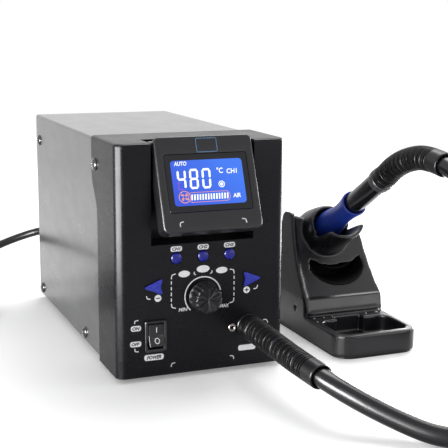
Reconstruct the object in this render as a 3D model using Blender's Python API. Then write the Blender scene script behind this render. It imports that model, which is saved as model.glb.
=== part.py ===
"""Hot air rework station: a control box with a tilting display, a handle resting in its stand, the air
hose between them and the mains lead.

Station axes: +X to the right along the front panel, +Y into the depth, +Z up. The table is z = 0, the
front panel's face is y = 0 and x = 0 is the middle of the controls. All lengths are in metres.
"""
import math

import bmesh
import bpy
from mathutils import Euler, Matrix, Vector

# Fits
CLEAR = 0.0003              # gap between two pieces that seat on each other
SLIDE_CLEAR = 0.00035       # gap round a piece that slides or turns

# Front panel moulding
PANEL_W = 0.116
PANEL_BOTTOM = 0.0035
PANEL_TOP = 0.155
PANEL_WALL = 0.0015
PANEL_FACE = 0.003
PANEL_CORNER = 0.006
PANEL_EDGE = 0.002
FLANK_TOP_DEPTH = 0.056
FLANK_LOW_DEPTH = 0.0437
FLANK_BEND_DROP = 0.025     # top of the panel down to the bend in the flank's rear edge
FLANK_BEND_LENGTH = 0.025

# Sheet metal case
SHEET = 0.0012
CASE_FRONT = 0.036
CASE_BACK = 0.233
CASE_CORNER = 0.002
STEP_DROP = 0.0004          # the cover's front edge is set down this much under the panel
BASE_FLANGE = 0.012
REAR_FLANGE = 0.013
FOOT_H = 0.005
FOOT_R = 0.006
FOOT_STEM_R = 0.002
FOOT_IN = 0.0102            # from the side of the case to a foot's middle
FOOT_FRONT_Y = 0.062
FOOT_REAR_Y = 0.197
SCREW_R = 0.0018
SCREW_HEAD_R = 0.0043
SCREW_HEAD_H = 0.0024
SCREW_REACH = 0.006
PANEL_SCREW_Y = 0.0477
PANEL_SCREW_DROP = 0.0181    # below the top of the panel
REAR_SCREW_IN = 0.010       # distance of the rear screws from the back of the case
REAR_SCREW_DROP = 0.0216     # below the top of the panel
LOW_SCREW_Z = 0.0106
FRONT_LOW_SCREW_Y = 0.0874

# Display bay and display flap
BAY_HALF = 0.0352
BAY_BOTTOM = 0.0899
BAY_DEPTH = 0.0215
BAY_WALL = 0.002
FLAP_HALF = 0.0332
FLAP_GAP = 0.0026           # under the flap when it hangs upright in the bay
FLAP_DEPTH = 0.012
FLAP_WALL = 0.0018
FLAP_CORNER = 0.004
FLAP_TILT = math.radians(21.6)
HINGE_DEPTH = 0.0131        # hinge axis behind the flap's face
HINGE_DROP = 0.0021         # hinge axis below the flap's top edge
HINGE_TOP_GAP = 0.0031      # hinge axis below the top of the panel
EAR_R = 0.003
EAR_T = 0.0035
PIN_R = 0.0014
WINDOW_HALF = 0.028
WINDOW_TOP = 0.0116         # from the flap's top edge down to the window
WINDOW_LOW_EDGE = 0.0124    # from the window down to the flap's lower edge
WINDOW_T = 0.0014
LCD_T = 0.005
BOARD_T = 0.0016
BACK_T = 0.0015

# Controls
CHANNEL_PITCH = 0.01835
CHANNEL_Z = 0.0807
CHANNEL_R = 0.00365
BUTTON_OUT = 0.0013
BUTTON_FLANGE = 0.001
BUTTON_STEM_R = 0.0016
BUTTON_TRAVEL = 0.0008
ARROW_TIP_X = 0.0401
ARROW_BASE_X = 0.0284
ARROW_Z = 0.0631
ARROW_HALF_H = 0.0048
ARROW_HOLLOW = 0.0014
KNOB_Z = 0.054
KNOB_R = 0.0103
KNOB_H = 0.0112
KNOB_GAP = 0.0009
KNOB_FLUTES = 18
KNOB_FLUTE_DEPTH = 0.0006
KNOB_PUSH = 0.0006
SHAFT_R = 0.003
BUSHING_R = 0.0044
ENCODER_W = 0.012
BOARD_Y = 0.014             # front face of the control board
BOARD_SIDE_GAP = 0.0055     # from the panel's side wall to the control board
BOARD_LOW = 0.0436
BOARD_HIGH = 0.086
BOSS_R = 0.003
BOSS_IN = 0.005             # from the board's end to a boss's middle
SWITCH_X = -0.0327
SWITCH_Z = 0.0308
SWITCH_W = 0.015
SWITCH_H = 0.021
SWITCH_RIM = 0.0022
SWITCH_OUT = 0.002
SWITCH_BODY = 0.018
SWITCH_SIDE = 0.0012        # bezel overhang outside the panel cut-out
ROCKER_HALF_ANGLE = math.radians(11.0)
ROCKER_PIVOT_Y = 0.0015
GROUND_X = 0.0206
GROUND_Z = 0.0307
GROUND_R = 0.00275
GLAND_X = 0.0324
GLAND_Z = 0.0306
GLAND_R = 0.0086
GLAND_T = 0.002

# Inside the case
CORE_W = 0.060
CORE_H = 0.050
CORE_T = 0.030
CORE_LEG = 0.010
CORE_FOOT_GAP = 0.004       # from the left feet's stems to the core
CORE_Y = 0.186
COIL_BULGE = 0.009
PUMP_R = 0.021
PUMP_L = 0.086
PUMP_SIDE_GAP = 0.0035      # from the side screws' tips to the pump
PUMP_Y = 0.118
BRACKET_T = 0.0015
BRACKET_H = 0.008
POWER_SIDE_GAP = 0.0005     # from the side screws' tips to the power board
POWER_PUMP_GAP = 0.011      # between the power board and the pump
POWER_L = 0.082
POWER_FOOT_GAP = 0.001      # behind the front feet's stems
POWER_STANDOFF = 0.006
HEATSINK_W = 0.030
HEATSINK_L = 0.040
HEATSINK_H = 0.022
HEATSINK_FINS = 6

# Rear panel fittings
CORD_GLAND_X = -0.036
CORD_GLAND_Z = 0.050
CORD_GLAND_R = 0.007
CORD_GLAND_LENGTH = 0.024
FUSE_X = 0.026
FUSE_R = 0.0072
VENT_COUNT = 7
VENT_W = 0.0026
VENT_H = 0.028
VENT_PITCH = 0.0065
VENT_DROP = 0.050           # below the top of the panel

# Handle stand
STAND_X = 0.130
STAND_HALF = 0.0325
STAND_TOP_HALF = 0.0278
STAND_FRONT = -0.0075
STAND_BACK = 0.110
STAND_TOP = 0.088
STAND_CORNER = 0.012
SOLE_T = 0.0013
TRAY_RIM_Z = 0.0168
TRAY_FLOOR_Z = 0.004
TRAY_HALF = 0.027
TRAY_FRONT = -0.002
TRAY_BACK = 0.034
TRAY_CORNER = 0.008
NOTCH_LEFT = -0.012
NOTCH_RIGHT = 0.010
NOTCH_BACK = 0.041
NOTCH_WALL = 0.0025          # behind the notch, to the seam across the stand's ledge
BAND_Y = 0.047
BAND_TOP_Z = 0.0315
FACE_TOP_Y = 0.080
FACE_CURVE_Y = 0.0715
FACE_CURVE_Z = 0.055
FACE_RECESS = 0.0022
FACE_SIDE = 0.0032          # side walls left beside the recessed face
POCKET_HALF = 0.0195
POCKET_HALF_H = 0.0062
POCKET_Z = 0.0433
POCKET_RISE = 0.0045        # how much the pocket's ends stand above its middle
POCKET_DEPTH = 0.011
FLANK_HOLE_R = 0.0015

# Handle; lengths along its axis are measured from AXIS_Y, AXIS_Z, positive towards the hose
AXIS_TILT = math.radians(31.5)
AXIS_Y = 0.0355
AXIS_Z = 0.1017
CUP_RIM = -0.040
CUP_R = 0.014
CUP_WALL = 0.0017
CUP_LIP_RISE = 0.019
CUP_LIP_FLARE = 0.0015
CUP_ROOT = -0.060
CUP_ROOT_R = 0.0155
CUP_FLOOR = -0.057
COLLAR_LOW = -0.052
COLLAR_LOW_R = 0.0103
COLLAR_WAIST = -0.022
COLLAR_WAIST_R = 0.0078
COLLAR_RIM_R = 0.0093
TUBE_R = 0.0076
TUBE_END = 0.042
TUBE_SEAT = 0.006           # depth of the tube's seat in the collar
HEATER_R = 0.0065
HEATER_WALL = 0.0008
HEATER_END = -0.080
NOZZLE_R = 0.0075
NOZZLE_TIP_R = 0.0042
NOZZLE_LAP = 0.010
NOZZLE_LENGTH = 0.020
HANDLE_BORE_R = 0.0084

# Hose, sleeves and mains lead
HOSE_R = 0.006
HOSE_Z = 0.0062
SLEEVE_R = 0.0083
SLEEVE_END_R = 0.0078
SLEEVE_RIBS = 18
SLEEVE_RIB = 0.0011
SLEEVE_SMOOTH = 0.012
SLEEVE_SEAT = 0.010
SLEEVE_FLARE = 0.0006       # how much the sleeve's mouth opens round the hose
LEAD_R = 0.00325
COIL_X = -0.144
COIL_Y = 0.200
COIL_R = 0.038
COIL_TURN_COLUMNS = 2
COIL_TURN_ROWS = 3
PLUG_R = 0.0165
PLUG_L = 0.036
PLUG_PIN_R = 0.0024
PLUG_PIN_L = 0.019
PLUG_PIN_GAP = 0.019

# Routes chosen along the real run of each cord
STATION_SLEEVE_ROUTE = ((0.0324, -0.0026, 0.0306), (0.0323, -0.0190, 0.0303), (0.0325, -0.0380, 0.0299),
                        (0.0331, -0.0700, 0.0286), (0.0361, -0.0985, 0.0264))
HANDLE_SLEEVE_ROUTE = ((-0.0163, 0.1341), (-0.0300, 0.1404), (-0.0480, 0.1448), (-0.0620, 0.1450),
                       (-0.0760, 0.1436))
STATION_HOSE_ROUTE = ((0.0396, -0.1090, 0.0240), (0.0460, -0.1185, 0.0201), (0.0537, -0.1278, 0.0159),
                      (0.0625, -0.1380, 0.0118), (0.0715, -0.1485, 0.0082))
HOSE_BEND_X = 0.1144        # the bend that leads from the seen hose round towards the loop
HOSE_BEND_Y = -0.1216
HOSE_BEND_R = 0.050
HOSE_LOOP_Y = -0.094
HOSE_LOOP_R = 0.052
HOSE_MEET = 0.024           # straight hose on the loop's far side, where its two runs meet
HANDLE_HOSE_ROUTE = ((0.1300, -0.0900, 0.1404), (0.1312, -0.1050, 0.1330), (0.1365, -0.1190, 0.1185),
                     (0.1465, -0.1325, 0.0960), (0.1602, -0.1435, 0.0690), (0.1755, -0.1515, 0.0420),
                     (0.1915, -0.1562, 0.0225), (0.2060, -0.1580, 0.0117), (0.2190, -0.1580, 0.0070))
LEAD_ROUTE = ((-0.0367, 0.2680, 0.0490), (-0.0408, 0.2783, 0.0475), (-0.0500, 0.2858, 0.0446),
              (-0.0640, 0.2890, 0.0402), (-0.0820, 0.2875, 0.0345), (-0.1040, 0.2810, 0.0260),
              (-0.1260, 0.2690, 0.0175), (-0.1460, 0.2550, 0.0100))
LEAD_LANDING = (122.0, 136.0, 150.0)   # degrees round the coil where the lead lies against it

ROOT = "station"


# Helpers
def clear_scene():
    for item in list(bpy.data.objects):
        bpy.data.objects.remove(item, do_unlink=True)


def material(name, colour, roughness, metallic=0.0):
    """A Principled BSDF finish, made once and shared."""
    found = bpy.data.materials.get(name)
    if found:
        return found
    made = bpy.data.materials.new(name)
    made.use_nodes = True
    shader = made.node_tree.nodes["Principled BSDF"]
    shader.inputs["Base Color"].default_value = (*colour, 1.0)
    shader.inputs["Roughness"].default_value = roughness
    shader.inputs["Metallic"].default_value = metallic
    made.diffuse_color = (*colour, 1.0)
    return made


def finish(name, bm, at=(0.0, 0.0, 0.0), turn=(0.0, 0.0, 0.0)):
    """Turn a bmesh into a scene object placed by its location and rotation."""
    bmesh.ops.recalc_face_normals(bm, faces=bm.faces)
    mesh = bpy.data.meshes.new(name)
    bm.to_mesh(mesh)
    bm.free()
    made = bpy.data.objects.new(name, mesh)
    bpy.context.collection.objects.link(made)
    made.location = at
    made.rotation_euler = Euler(turn)
    return made


def prism(name, outline, axis, low, high, at=(0.0, 0.0, 0.0), turn=(0.0, 0.0, 0.0)):
    """Extrude a closed outline along one axis. The outline holds the two other coordinates in order."""
    bm = bmesh.new()
    spots = {"X": lambda a, b: (low, a, b), "Y": lambda a, b: (a, low, b), "Z": lambda a, b: (a, b, low)}
    face = bm.faces.new([bm.verts.new(spots[axis](a, b)) for a, b in outline])
    moved = bmesh.ops.extrude_face_region(bm, geom=[face])["geom"]
    step = Vector((axis == "X", axis == "Y", axis == "Z")) * (high - low)
    bmesh.ops.translate(bm, verts=[v for v in moved if isinstance(v, bmesh.types.BMVert)], vec=step)
    return finish(name, bm, at, turn)


def box(name, low, high, at=(0.0, 0.0, 0.0), turn=(0.0, 0.0, 0.0)):
    corners = ((low[0], low[1]), (high[0], low[1]), (high[0], high[1]), (low[0], high[1]))
    return prism(name, corners, "Z", low[2], high[2], at, turn)


def turned(name, profile, sides, at=(0.0, 0.0, 0.0), turn=(0.0, 0.0, 0.0)):
    """Revolve a profile of (radius, height) pairs about the local Z axis.

    A profile that starts and ends on the axis makes a solid; any other profile is closed into a ring.
    """
    bm = bmesh.new()
    verts = [bm.verts.new((radius, 0.0, height)) for radius, height in profile]
    edges = [bm.edges.new(pair) for pair in zip(verts, verts[1:])]
    if profile[0][0] > 0.0:
        edges.append(bm.edges.new((verts[-1], verts[0])))
    bmesh.ops.spin(bm, geom=verts + edges, cent=(0, 0, 0), axis=(0, 0, 1), dvec=(0, 0, 0),
                   angle=math.tau, steps=sides, use_duplicate=False)
    bmesh.ops.remove_doubles(bm, verts=bm.verts, dist=1e-6)
    return finish(name, bm, at, turn)


def rod(name, radius, low, high, sides, at=(0.0, 0.0, 0.0), turn=(0.0, 0.0, 0.0)):
    return turned(name, ((0.0, low), (radius, low), (radius, high), (0.0, high)), sides, at, turn)


FACING_FRONT = (math.pi / 2, 0.0, 0.0)      # local Z points to -Y
FACING_REAR = (-math.pi / 2, 0.0, 0.0)      # local Z points to +Y
FACING_LEFT = (0.0, -math.pi / 2, 0.0)      # local Z points to -X
FACING_RIGHT = (0.0, math.pi / 2, 0.0)      # local Z points to +X
ALONG_HANDLE = (math.pi / 2 - AXIS_TILT, 0.0, 0.0)
HANDLE_AT = (STAND_X, AXIS_Y, AXIS_Z)


def combine(target, tools, operation):
    """Apply exact Booleans to the target and take the tools away."""
    for tool in tools:
        modifier = target.modifiers.new("shape", "BOOLEAN")
        modifier.operation = operation
        modifier.solver = "EXACT"
        modifier.object = tool
    bpy.context.view_layer.update()
    evaluated = target.evaluated_get(bpy.context.evaluated_depsgraph_get())
    mesh = bpy.data.meshes.new_from_object(evaluated)
    target.modifiers.clear()
    target.data = mesh
    for tool in tools:
        bpy.data.objects.remove(tool, do_unlink=True)
    return target


def cut(target, *tools):
    return combine(target, tools, "DIFFERENCE")


def join(target, *tools):
    return combine(target, tools, "UNION")


def common(target, *tools):
    return combine(target, tools, "INTERSECT")


def filleted(points, radii, steps=4):
    """Round the corners of a closed outline; radii is one number or one for each corner."""
    count = len(points)
    if not isinstance(radii, (tuple, list)):
        radii = [radii] * count
    outline = []
    for i, here in enumerate(points):
        here = Vector(here)
        to_last = Vector(points[i - 1]) - here
        to_next = Vector(points[(i + 1) % count]) - here
        half = to_last.angle(to_next) / 2
        if radii[i] <= 0.0 or half > math.radians(88):
            outline.append(tuple(here))
            continue
        reach = min(radii[i] / math.tan(half), 0.49 * to_last.length, 0.49 * to_next.length)
        radius = reach * math.tan(half)
        towards = (to_last.normalized() + to_next.normalized()).normalized()
        centre = here + towards * (radius / math.sin(half))
        first = here + to_last.normalized() * reach - centre
        swing = first.angle_signed(here + to_next.normalized() * reach - centre)
        for k in range(steps + 1):
            spoke = first.copy()
            spoke.rotate(Matrix.Rotation(-swing * k / steps, 2))
            outline.append(tuple(centre + spoke))
    return outline


def rectangle(left, right, low, high):
    return ((left, low), (right, low), (right, high), (left, high))


def grown(points, distance):
    """Move each side of a counter-clockwise outline outwards by a distance."""
    count = len(points)
    outline = []
    for i in range(count):
        before = Vector(points[i - 1])
        here = Vector(points[i])
        after = Vector(points[(i + 1) % count])
        first = (here - before).normalized()
        second = (after - here).normalized()
        normal = Vector((first.y + second.y, -first.x - second.x)).normalized()
        outline.append(tuple(here + normal * distance / max(normal.dot(Vector((first.y, -first.x))), 0.4)))
    return outline


def smooth_route(points, spacing):
    """Points at even spacing along a centripetal Catmull-Rom curve through a route's own points."""
    nodes = [Vector(p) for p in points]
    nodes = [2 * nodes[0] - nodes[1]] + nodes + [2 * nodes[-1] - nodes[-2]]
    fine = []
    for a, b, c, d in zip(nodes, nodes[1:], nodes[2:], nodes[3:]):
        t1 = (b - a).length ** 0.5
        t2 = t1 + (c - b).length ** 0.5
        t3 = t2 + (d - c).length ** 0.5
        for k in range(16):
            t = t1 + (t2 - t1) * k / 16
            ab = a.lerp(b, t / t1)
            bc = b.lerp(c, (t - t1) / (t2 - t1))
            cd = c.lerp(d, (t - t2) / (t3 - t2))
            abc = ab.lerp(bc, t / t2)
            bcd = bc.lerp(cd, (t - t1) / (t3 - t1))
            fine.append(abc.lerp(bcd, (t - t1) / (t2 - t1)))
    fine.append(nodes[-2])
    runs = [0.0]
    for a, b in zip(fine, fine[1:]):
        runs.append(runs[-1] + (b - a).length)
    count = max(2, round(runs[-1] / spacing))
    route = []
    at = 0
    for k in range(count + 1):
        want = runs[-1] * k / count
        while at < len(runs) - 2 and runs[at + 1] < want:
            at += 1
        share = (want - runs[at]) / max(runs[at + 1] - runs[at], 1e-9)
        route.append(fine[at].lerp(fine[at + 1], min(share, 1.0)))
    return route


def turned_along(name, points, profile, sides, back=()):
    """Rings of given radius at given distances along a curved axis, joined into one closed skin.

    The profile holds (distance, radius) pairs; back holds the inner wall, followed to a closed floor.
    """
    route = smooth_route(points, 0.002)
    runs = [0.0]
    for a, b in zip(route, route[1:]):
        runs.append(runs[-1] + (b - a).length)
    length = runs[-1]

    def frame_at(distance):
        share = min(max(distance / length, 0.0), 1.0) * (len(route) - 1)
        i = min(int(share), len(route) - 2)
        here = route[i].lerp(route[i + 1], share - i)
        ahead = (route[min(i + 2, len(route) - 1)] - route[max(i - 1, 0)]).normalized()
        side = ahead.cross(Vector((0, 0, 1))).normalized()
        return here, side, side.cross(ahead).normalized()

    bm = bmesh.new()
    rings = []
    for distance, radius in [(d * length, r) for d, r in profile] + [(length - d, r) for d, r in back]:
        here, side, up = frame_at(distance)
        angles = [math.tau * k / sides for k in range(sides)]
        rings.append([bm.verts.new(here + (side * math.cos(a) + up * math.sin(a)) * radius) for a in angles])
    for low, high in zip(rings, rings[1:]):
        for k in range(sides):
            bm.faces.new((low[k], low[(k + 1) % sides], high[(k + 1) % sides], high[k]))
    bm.faces.new(rings[0])
    bm.faces.new(rings[-1])
    return finish(name, bm)


def cord(name, points, radius, spacing, resolution):
    """A free cord: a bevelled poly curve through evenly spaced points, with filled ends."""
    curve = bpy.data.curves.new(name, "CURVE")
    curve.dimensions = "3D"
    curve.bevel_depth = radius
    curve.bevel_resolution = resolution
    curve.use_fill_caps = True
    route = smooth_route(points, spacing)
    spline = curve.splines.new("POLY")
    spline.points.add(len(route) - 1)
    for point, spot in zip(spline.points, route):
        point.co = (*spot, 1.0)
    made = bpy.data.objects.new(name, curve)
    bpy.context.collection.objects.link(made)
    return made


def rounded_shade(item, angle):
    if item.type != "MESH":
        return
    item.data.shade_smooth()
    item.data.set_sharp_from_angle(angle=angle)


# Finishes
def finishes():
    return {
        "panel_black": material("panel_black", (0.018, 0.018, 0.021), 0.38),
        "case_black": material("case_black", (0.030, 0.031, 0.034), 0.45, 0.2),
        "bay_black": material("bay_black", (0.016, 0.016, 0.018), 0.30),
        "window_dark": material("window_dark", (0.01, 0.012, 0.02), 0.08),
        "lcd_blue": material("lcd_blue", (0.02, 0.06, 0.65), 0.30),
        "button_blue": material("button_blue", (0.015, 0.03, 0.42), 0.35),
        "knob_black": material("knob_black", (0.02, 0.02, 0.022), 0.35),
        "board_green": material("board_green", (0.02, 0.16, 0.06), 0.45),
        "steel": material("steel", (0.55, 0.55, 0.57), 0.30, 1.0),
        "screw_black": material("screw_black", (0.03, 0.03, 0.032), 0.30, 0.8),
        "copper": material("copper", (0.55, 0.24, 0.10), 0.35, 1.0),
        "core_grey": material("core_grey", (0.16, 0.16, 0.17), 0.55, 0.6),
        "aluminium": material("aluminium", (0.62, 0.63, 0.65), 0.35, 1.0),
        "ceramic": material("ceramic", (0.80, 0.77, 0.70), 0.60),
        "rubber_black": material("rubber_black", (0.015, 0.015, 0.016), 0.65),
        "stand_black": material("stand_black", (0.020, 0.020, 0.023), 0.33),
        "collar_blue": material("collar_blue", (0.02, 0.06, 0.50), 0.50),
        "hose_black": material("hose_black", (0.014, 0.014, 0.015), 0.50),
    }


# Derived sizes
FLANK_BEND_TOP = PANEL_TOP - FLANK_BEND_DROP
FLANK_BEND_LOW = FLANK_BEND_TOP - FLANK_BEND_LENGTH
PANEL_SCREW_Z = PANEL_TOP - PANEL_SCREW_DROP
REAR_SCREW_TOP_Z = PANEL_TOP - REAR_SCREW_DROP
HINGE_Z = PANEL_TOP - HINGE_TOP_GAP
FLAP_LENGTH = HINGE_Z + HINGE_DROP - BAY_BOTTOM - FLAP_GAP
WINDOW_BOTTOM = FLAP_LENGTH - WINDOW_LOW_EDGE
VENT_Z = PANEL_TOP - VENT_DROP
CASE_HALF = PANEL_W / 2 - PANEL_WALL - CLEAR
CASE_TOP = PANEL_TOP - PANEL_WALL - CLEAR
BASE_TOP = FOOT_H + SHEET
INNER_HALF = CASE_HALF - SHEET - CLEAR
FOOT_X = CASE_HALF - FOOT_IN
BOARD_HALF = PANEL_W / 2 - PANEL_WALL - BOARD_SIDE_GAP
BOSS_X = BOARD_HALF - BOSS_IN
SCREW_TIP = CASE_HALF + CLEAR - SCREW_REACH
PUMP_X = SCREW_TIP - PUMP_SIDE_GAP - PUMP_R
POWER_LEFT = -(SCREW_TIP - POWER_SIDE_GAP)
POWER_W = PUMP_X - PUMP_R - POWER_PUMP_GAP - POWER_LEFT
POWER_X = POWER_LEFT + POWER_W / 2
POWER_Y = FOOT_FRONT_Y + FOOT_STEM_R + POWER_FOOT_GAP + POWER_L / 2
CORE_X = -(FOOT_X - FOOT_STEM_R - CORE_FOOT_GAP) + CORE_W / 2
FACE_Y = -HINGE_DEPTH
FLAP_TOP = HINGE_DROP
FLAP_LOW = HINGE_DROP - FLAP_LENGTH
LEAD_GLAND_TIP = CASE_BACK + CORD_GLAND_LENGTH + 0.003
REAR_SCREW_Y = CASE_BACK - REAR_SCREW_IN
CASE_SCREWS = ((REAR_SCREW_Y, REAR_SCREW_TOP_Z), (REAR_SCREW_Y, LOW_SCREW_Z),
               (FRONT_LOW_SCREW_Y, LOW_SCREW_Z))


def screw_bores(spots):
    """Cutters for the side screws, straight through both sides of the case."""
    return [rod("bore", SCREW_R + CLEAR, -PANEL_W, PANEL_W, 12, (0.0, y, z), FACING_RIGHT)
            for y, z in spots]


# Case
def build_case():
    outline = filleted(((-CASE_HALF, FOOT_H), (CASE_HALF, FOOT_H), (CASE_HALF, CASE_TOP),
                        (-CASE_HALF, CASE_TOP)), (0, 0, CASE_CORNER, CASE_CORNER), 3)
    cover = prism("case_cover", outline, "Y", CASE_FRONT, CASE_BACK)
    inner = CASE_HALF - SHEET
    cut(cover, box("hollow", (-inner, CASE_FRONT - SHEET, 0.0),
                   (inner, CASE_BACK + SHEET, CASE_TOP - SHEET)),
        box("lip_step", (-PANEL_W, CASE_FRONT - SHEET, CASE_TOP - STEP_DROP),
            (PANEL_W, FLANK_TOP_DEPTH + CLEAR, PANEL_TOP)),
        *screw_bores(CASE_SCREWS + ((PANEL_SCREW_Y, PANEL_SCREW_Z),)))
    tray = prism("base_plate", rectangle(-INNER_HALF, INNER_HALF, FOOT_H, FOOT_H + BASE_FLANGE), "Y",
                 CASE_FRONT, CASE_BACK - SHEET - CLEAR)
    deep = INNER_HALF - SHEET
    stems = [rod("bore", FOOT_STEM_R + CLEAR, 0.0, 2 * FOOT_H, 12, (x, y, 0.0)) for x, y in foot_spots()]
    cut(tray, box("hollow", (-deep, 0.0, BASE_TOP), (deep, CASE_BACK, CASE_TOP)), *stems,
        *screw_bores(CASE_SCREWS[1:]))
    low = FOOT_H + BASE_FLANGE + CLEAR
    rear = prism("rear_panel", rectangle(-INNER_HALF, INNER_HALF, FOOT_H, CASE_TOP - SHEET - CLEAR), "Y",
                 CASE_BACK - REAR_FLANGE, CASE_BACK)
    cut(rear, box("hollow", (-deep, 0.0, 0.0), (deep, CASE_BACK - SHEET, CASE_TOP)),
        box("foot_room", (-CASE_HALF, 0.0, 0.0), (CASE_HALF, CASE_BACK - SHEET, low)),
        *screw_bores(CASE_SCREWS[:1]))
    vents = []
    for i in range(VENT_COUNT):
        x = (i - (VENT_COUNT - 1) / 2) * VENT_PITCH
        vents.append(box("vent", (x - VENT_W / 2, CASE_BACK - 0.01, VENT_Z - VENT_H / 2),
                         (x + VENT_W / 2, CASE_BACK + 0.01, VENT_Z + VENT_H / 2)))
    cut(rear, *vents,
        rod("bore", CORD_GLAND_R - 0.0015 + CLEAR, -0.01, 0.01, 20,
            (CORD_GLAND_X, CASE_BACK, CORD_GLAND_Z),
            FACING_REAR),
        rod("bore", FUSE_R - 0.0015 + CLEAR, -0.01, 0.01, 20, (FUSE_X, CASE_BACK, CORD_GLAND_Z),
            FACING_REAR))


def foot_spots():
    return [(side * FOOT_X, y) for y in (FOOT_FRONT_Y, FOOT_REAR_Y) for side in (-1, 1)]


def build_feet():
    for i, (x, y) in enumerate(foot_spots(), 1):
        top = FOOT_H - CLEAR
        turned("foot_%d" % i, ((0.0, 0.0), (FOOT_R - 0.001, 0.0), (FOOT_R, 0.001), (FOOT_R, top),
                               (FOOT_STEM_R, top), (FOOT_STEM_R, BASE_TOP + 0.0012),
                               (0.0, BASE_TOP + 0.0016)),
               16, (x, y, 0.0))


def build_screws():
    number = 1
    spots = [(CASE_HALF, y, z) for y, z in CASE_SCREWS] + [(PANEL_W / 2, PANEL_SCREW_Y, PANEL_SCREW_Z)]
    for side, facing in ((-1, FACING_LEFT), (1, FACING_RIGHT)):
        for x, y, z in spots:
            seat = CLEAR
            turned("side_screw_%d" % number,
                   ((0.0, seat - SCREW_REACH), (SCREW_R, seat - SCREW_REACH), (SCREW_R, seat),
                    (SCREW_HEAD_R, seat), (SCREW_HEAD_R, seat + 0.4 * SCREW_HEAD_H),
                    (0.75 * SCREW_HEAD_R, seat + 0.82 * SCREW_HEAD_H), (0.0, seat + SCREW_HEAD_H)),
                   12, (side * x, y, z), facing)
            number += 1


# Front panel
def arrow_outline(side):
    """The triangular key, pointing outwards, with a hollowed inner edge."""
    points = ((ARROW_TIP_X, ARROW_Z), (ARROW_BASE_X, ARROW_Z + ARROW_HALF_H),
              (ARROW_BASE_X + ARROW_HOLLOW, ARROW_Z), (ARROW_BASE_X, ARROW_Z - ARROW_HALF_H))
    if side > 0:
        return [(x, z) for x, z in points]
    return [(-x, z) for x, z in reversed(points)]


def flank_outline():
    """Side view of the panel: deeper at the top, with a soft step down the flank's rear edge."""
    outline = [(0.0, PANEL_BOTTOM), (FLANK_LOW_DEPTH, PANEL_BOTTOM)]
    for k in range(9):
        share = k / 8
        ease = share * share * (3 - 2 * share)
        outline.append((FLANK_LOW_DEPTH + (FLANK_TOP_DEPTH - FLANK_LOW_DEPTH) * ease,
                        FLANK_BEND_LOW + (FLANK_BEND_TOP - FLANK_BEND_LOW) * share))
    return outline + [(FLANK_TOP_DEPTH, PANEL_TOP), (0.0, PANEL_TOP)]


def build_panel():
    half = PANEL_W / 2
    panel = prism("front_panel", flank_outline(), "X", -half, half)
    bm = bmesh.new()
    bm.from_mesh(panel.data)
    upright = [e for e in bm.edges if all(v.co.y < 1e-6 for v in e.verts)
               and abs(e.verts[0].co.x - e.verts[1].co.x) < 1e-6]
    bmesh.ops.bevel(bm, geom=upright, offset=PANEL_CORNER, segments=5, profile=0.5, affect="EDGES")
    rim = [e for e in bm.edges if all(v.co.z > PANEL_TOP - 1e-6 for v in e.verts)
           and any(v.co.y < FLANK_TOP_DEPTH - 1e-4 for v in e.verts)]
    bmesh.ops.bevel(bm, geom=rim, offset=PANEL_EDGE, segments=2, profile=0.5, affect="EDGES")
    bm.to_mesh(panel.data)
    bm.free()
    hollow = box("hollow", (-half + PANEL_WALL, PANEL_FACE, PANEL_BOTTOM + SHEET),
                 (half - PANEL_WALL, 2 * FLANK_TOP_DEPTH, PANEL_TOP - PANEL_WALL))
    outer = BAY_HALF + BAY_WALL
    cut(hollow, box("bay_walls", (-outer, -0.01, BAY_BOTTOM - BAY_WALL),
                    (outer, BAY_DEPTH + BAY_WALL, PANEL_TOP + 0.01)))
    bay = box("bay", (-BAY_HALF, -0.01, BAY_BOTTOM), (BAY_HALF, BAY_DEPTH, PANEL_TOP + 0.01))
    cut(panel, hollow)
    cut(panel, bay)
    bosses = [rod("boss", BOSS_R, -(BOARD_Y - CLEAR), -0.5 * PANEL_FACE, 12, (side * BOSS_X, 0.0, z),
                  FACING_FRONT) for side in (-1, 1) for z in (BOARD_LOW + 0.004, BOARD_HIGH - 0.004)]
    join(panel, *bosses)
    holes = [rod("bore", CHANNEL_R + SLIDE_CLEAR, -0.01, 0.01, 20, (x, 0.0, CHANNEL_Z), FACING_FRONT)
             for x in channel_spots()]
    for side in (-1, 1):
        shape = filleted(grown(arrow_outline(side), SLIDE_CLEAR), 0.0009, 3)
        holes.append(prism("bore", shape, "Y", -0.01, 0.01))
        holes.append(rod("bore", PIN_R + CLEAR, BAY_HALF - 0.001, BAY_HALF + BAY_WALL + 0.001, 16,
                         (0.0, HINGE_DEPTH, HINGE_Z), FACING_RIGHT if side > 0 else FACING_LEFT))
    holes.append(rod("bore", BUSHING_R + CLEAR, -0.01, 0.01, 20, (0.0, 0.0, KNOB_Z), FACING_FRONT))
    body_w, body_h = switch_body()
    holes.append(box("bore", (SWITCH_X - body_w / 2 - CLEAR, -0.01, SWITCH_Z - body_h / 2 - CLEAR),
                     (SWITCH_X + body_w / 2 + CLEAR, 0.01, SWITCH_Z + body_h / 2 + CLEAR)))
    holes.append(rod("bore", GROUND_R - 0.0007 + CLEAR, -0.01, 0.01, 14, (GROUND_X, 0.0, GROUND_Z),
                     FACING_FRONT))
    holes.append(rod("bore", GLAND_R - 0.001 + CLEAR, -0.01, 0.01, 24, (GLAND_X, 0.0, GLAND_Z),
                     FACING_FRONT))
    cut(panel, *holes, *screw_bores(((PANEL_SCREW_Y, PANEL_SCREW_Z),)))


def channel_spots():
    return [i * CHANNEL_PITCH for i in (-1, 0, 1)]


def switch_body():
    return SWITCH_W - 2 * SWITCH_SIDE, SWITCH_H - 2 * SWITCH_SIDE


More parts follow.
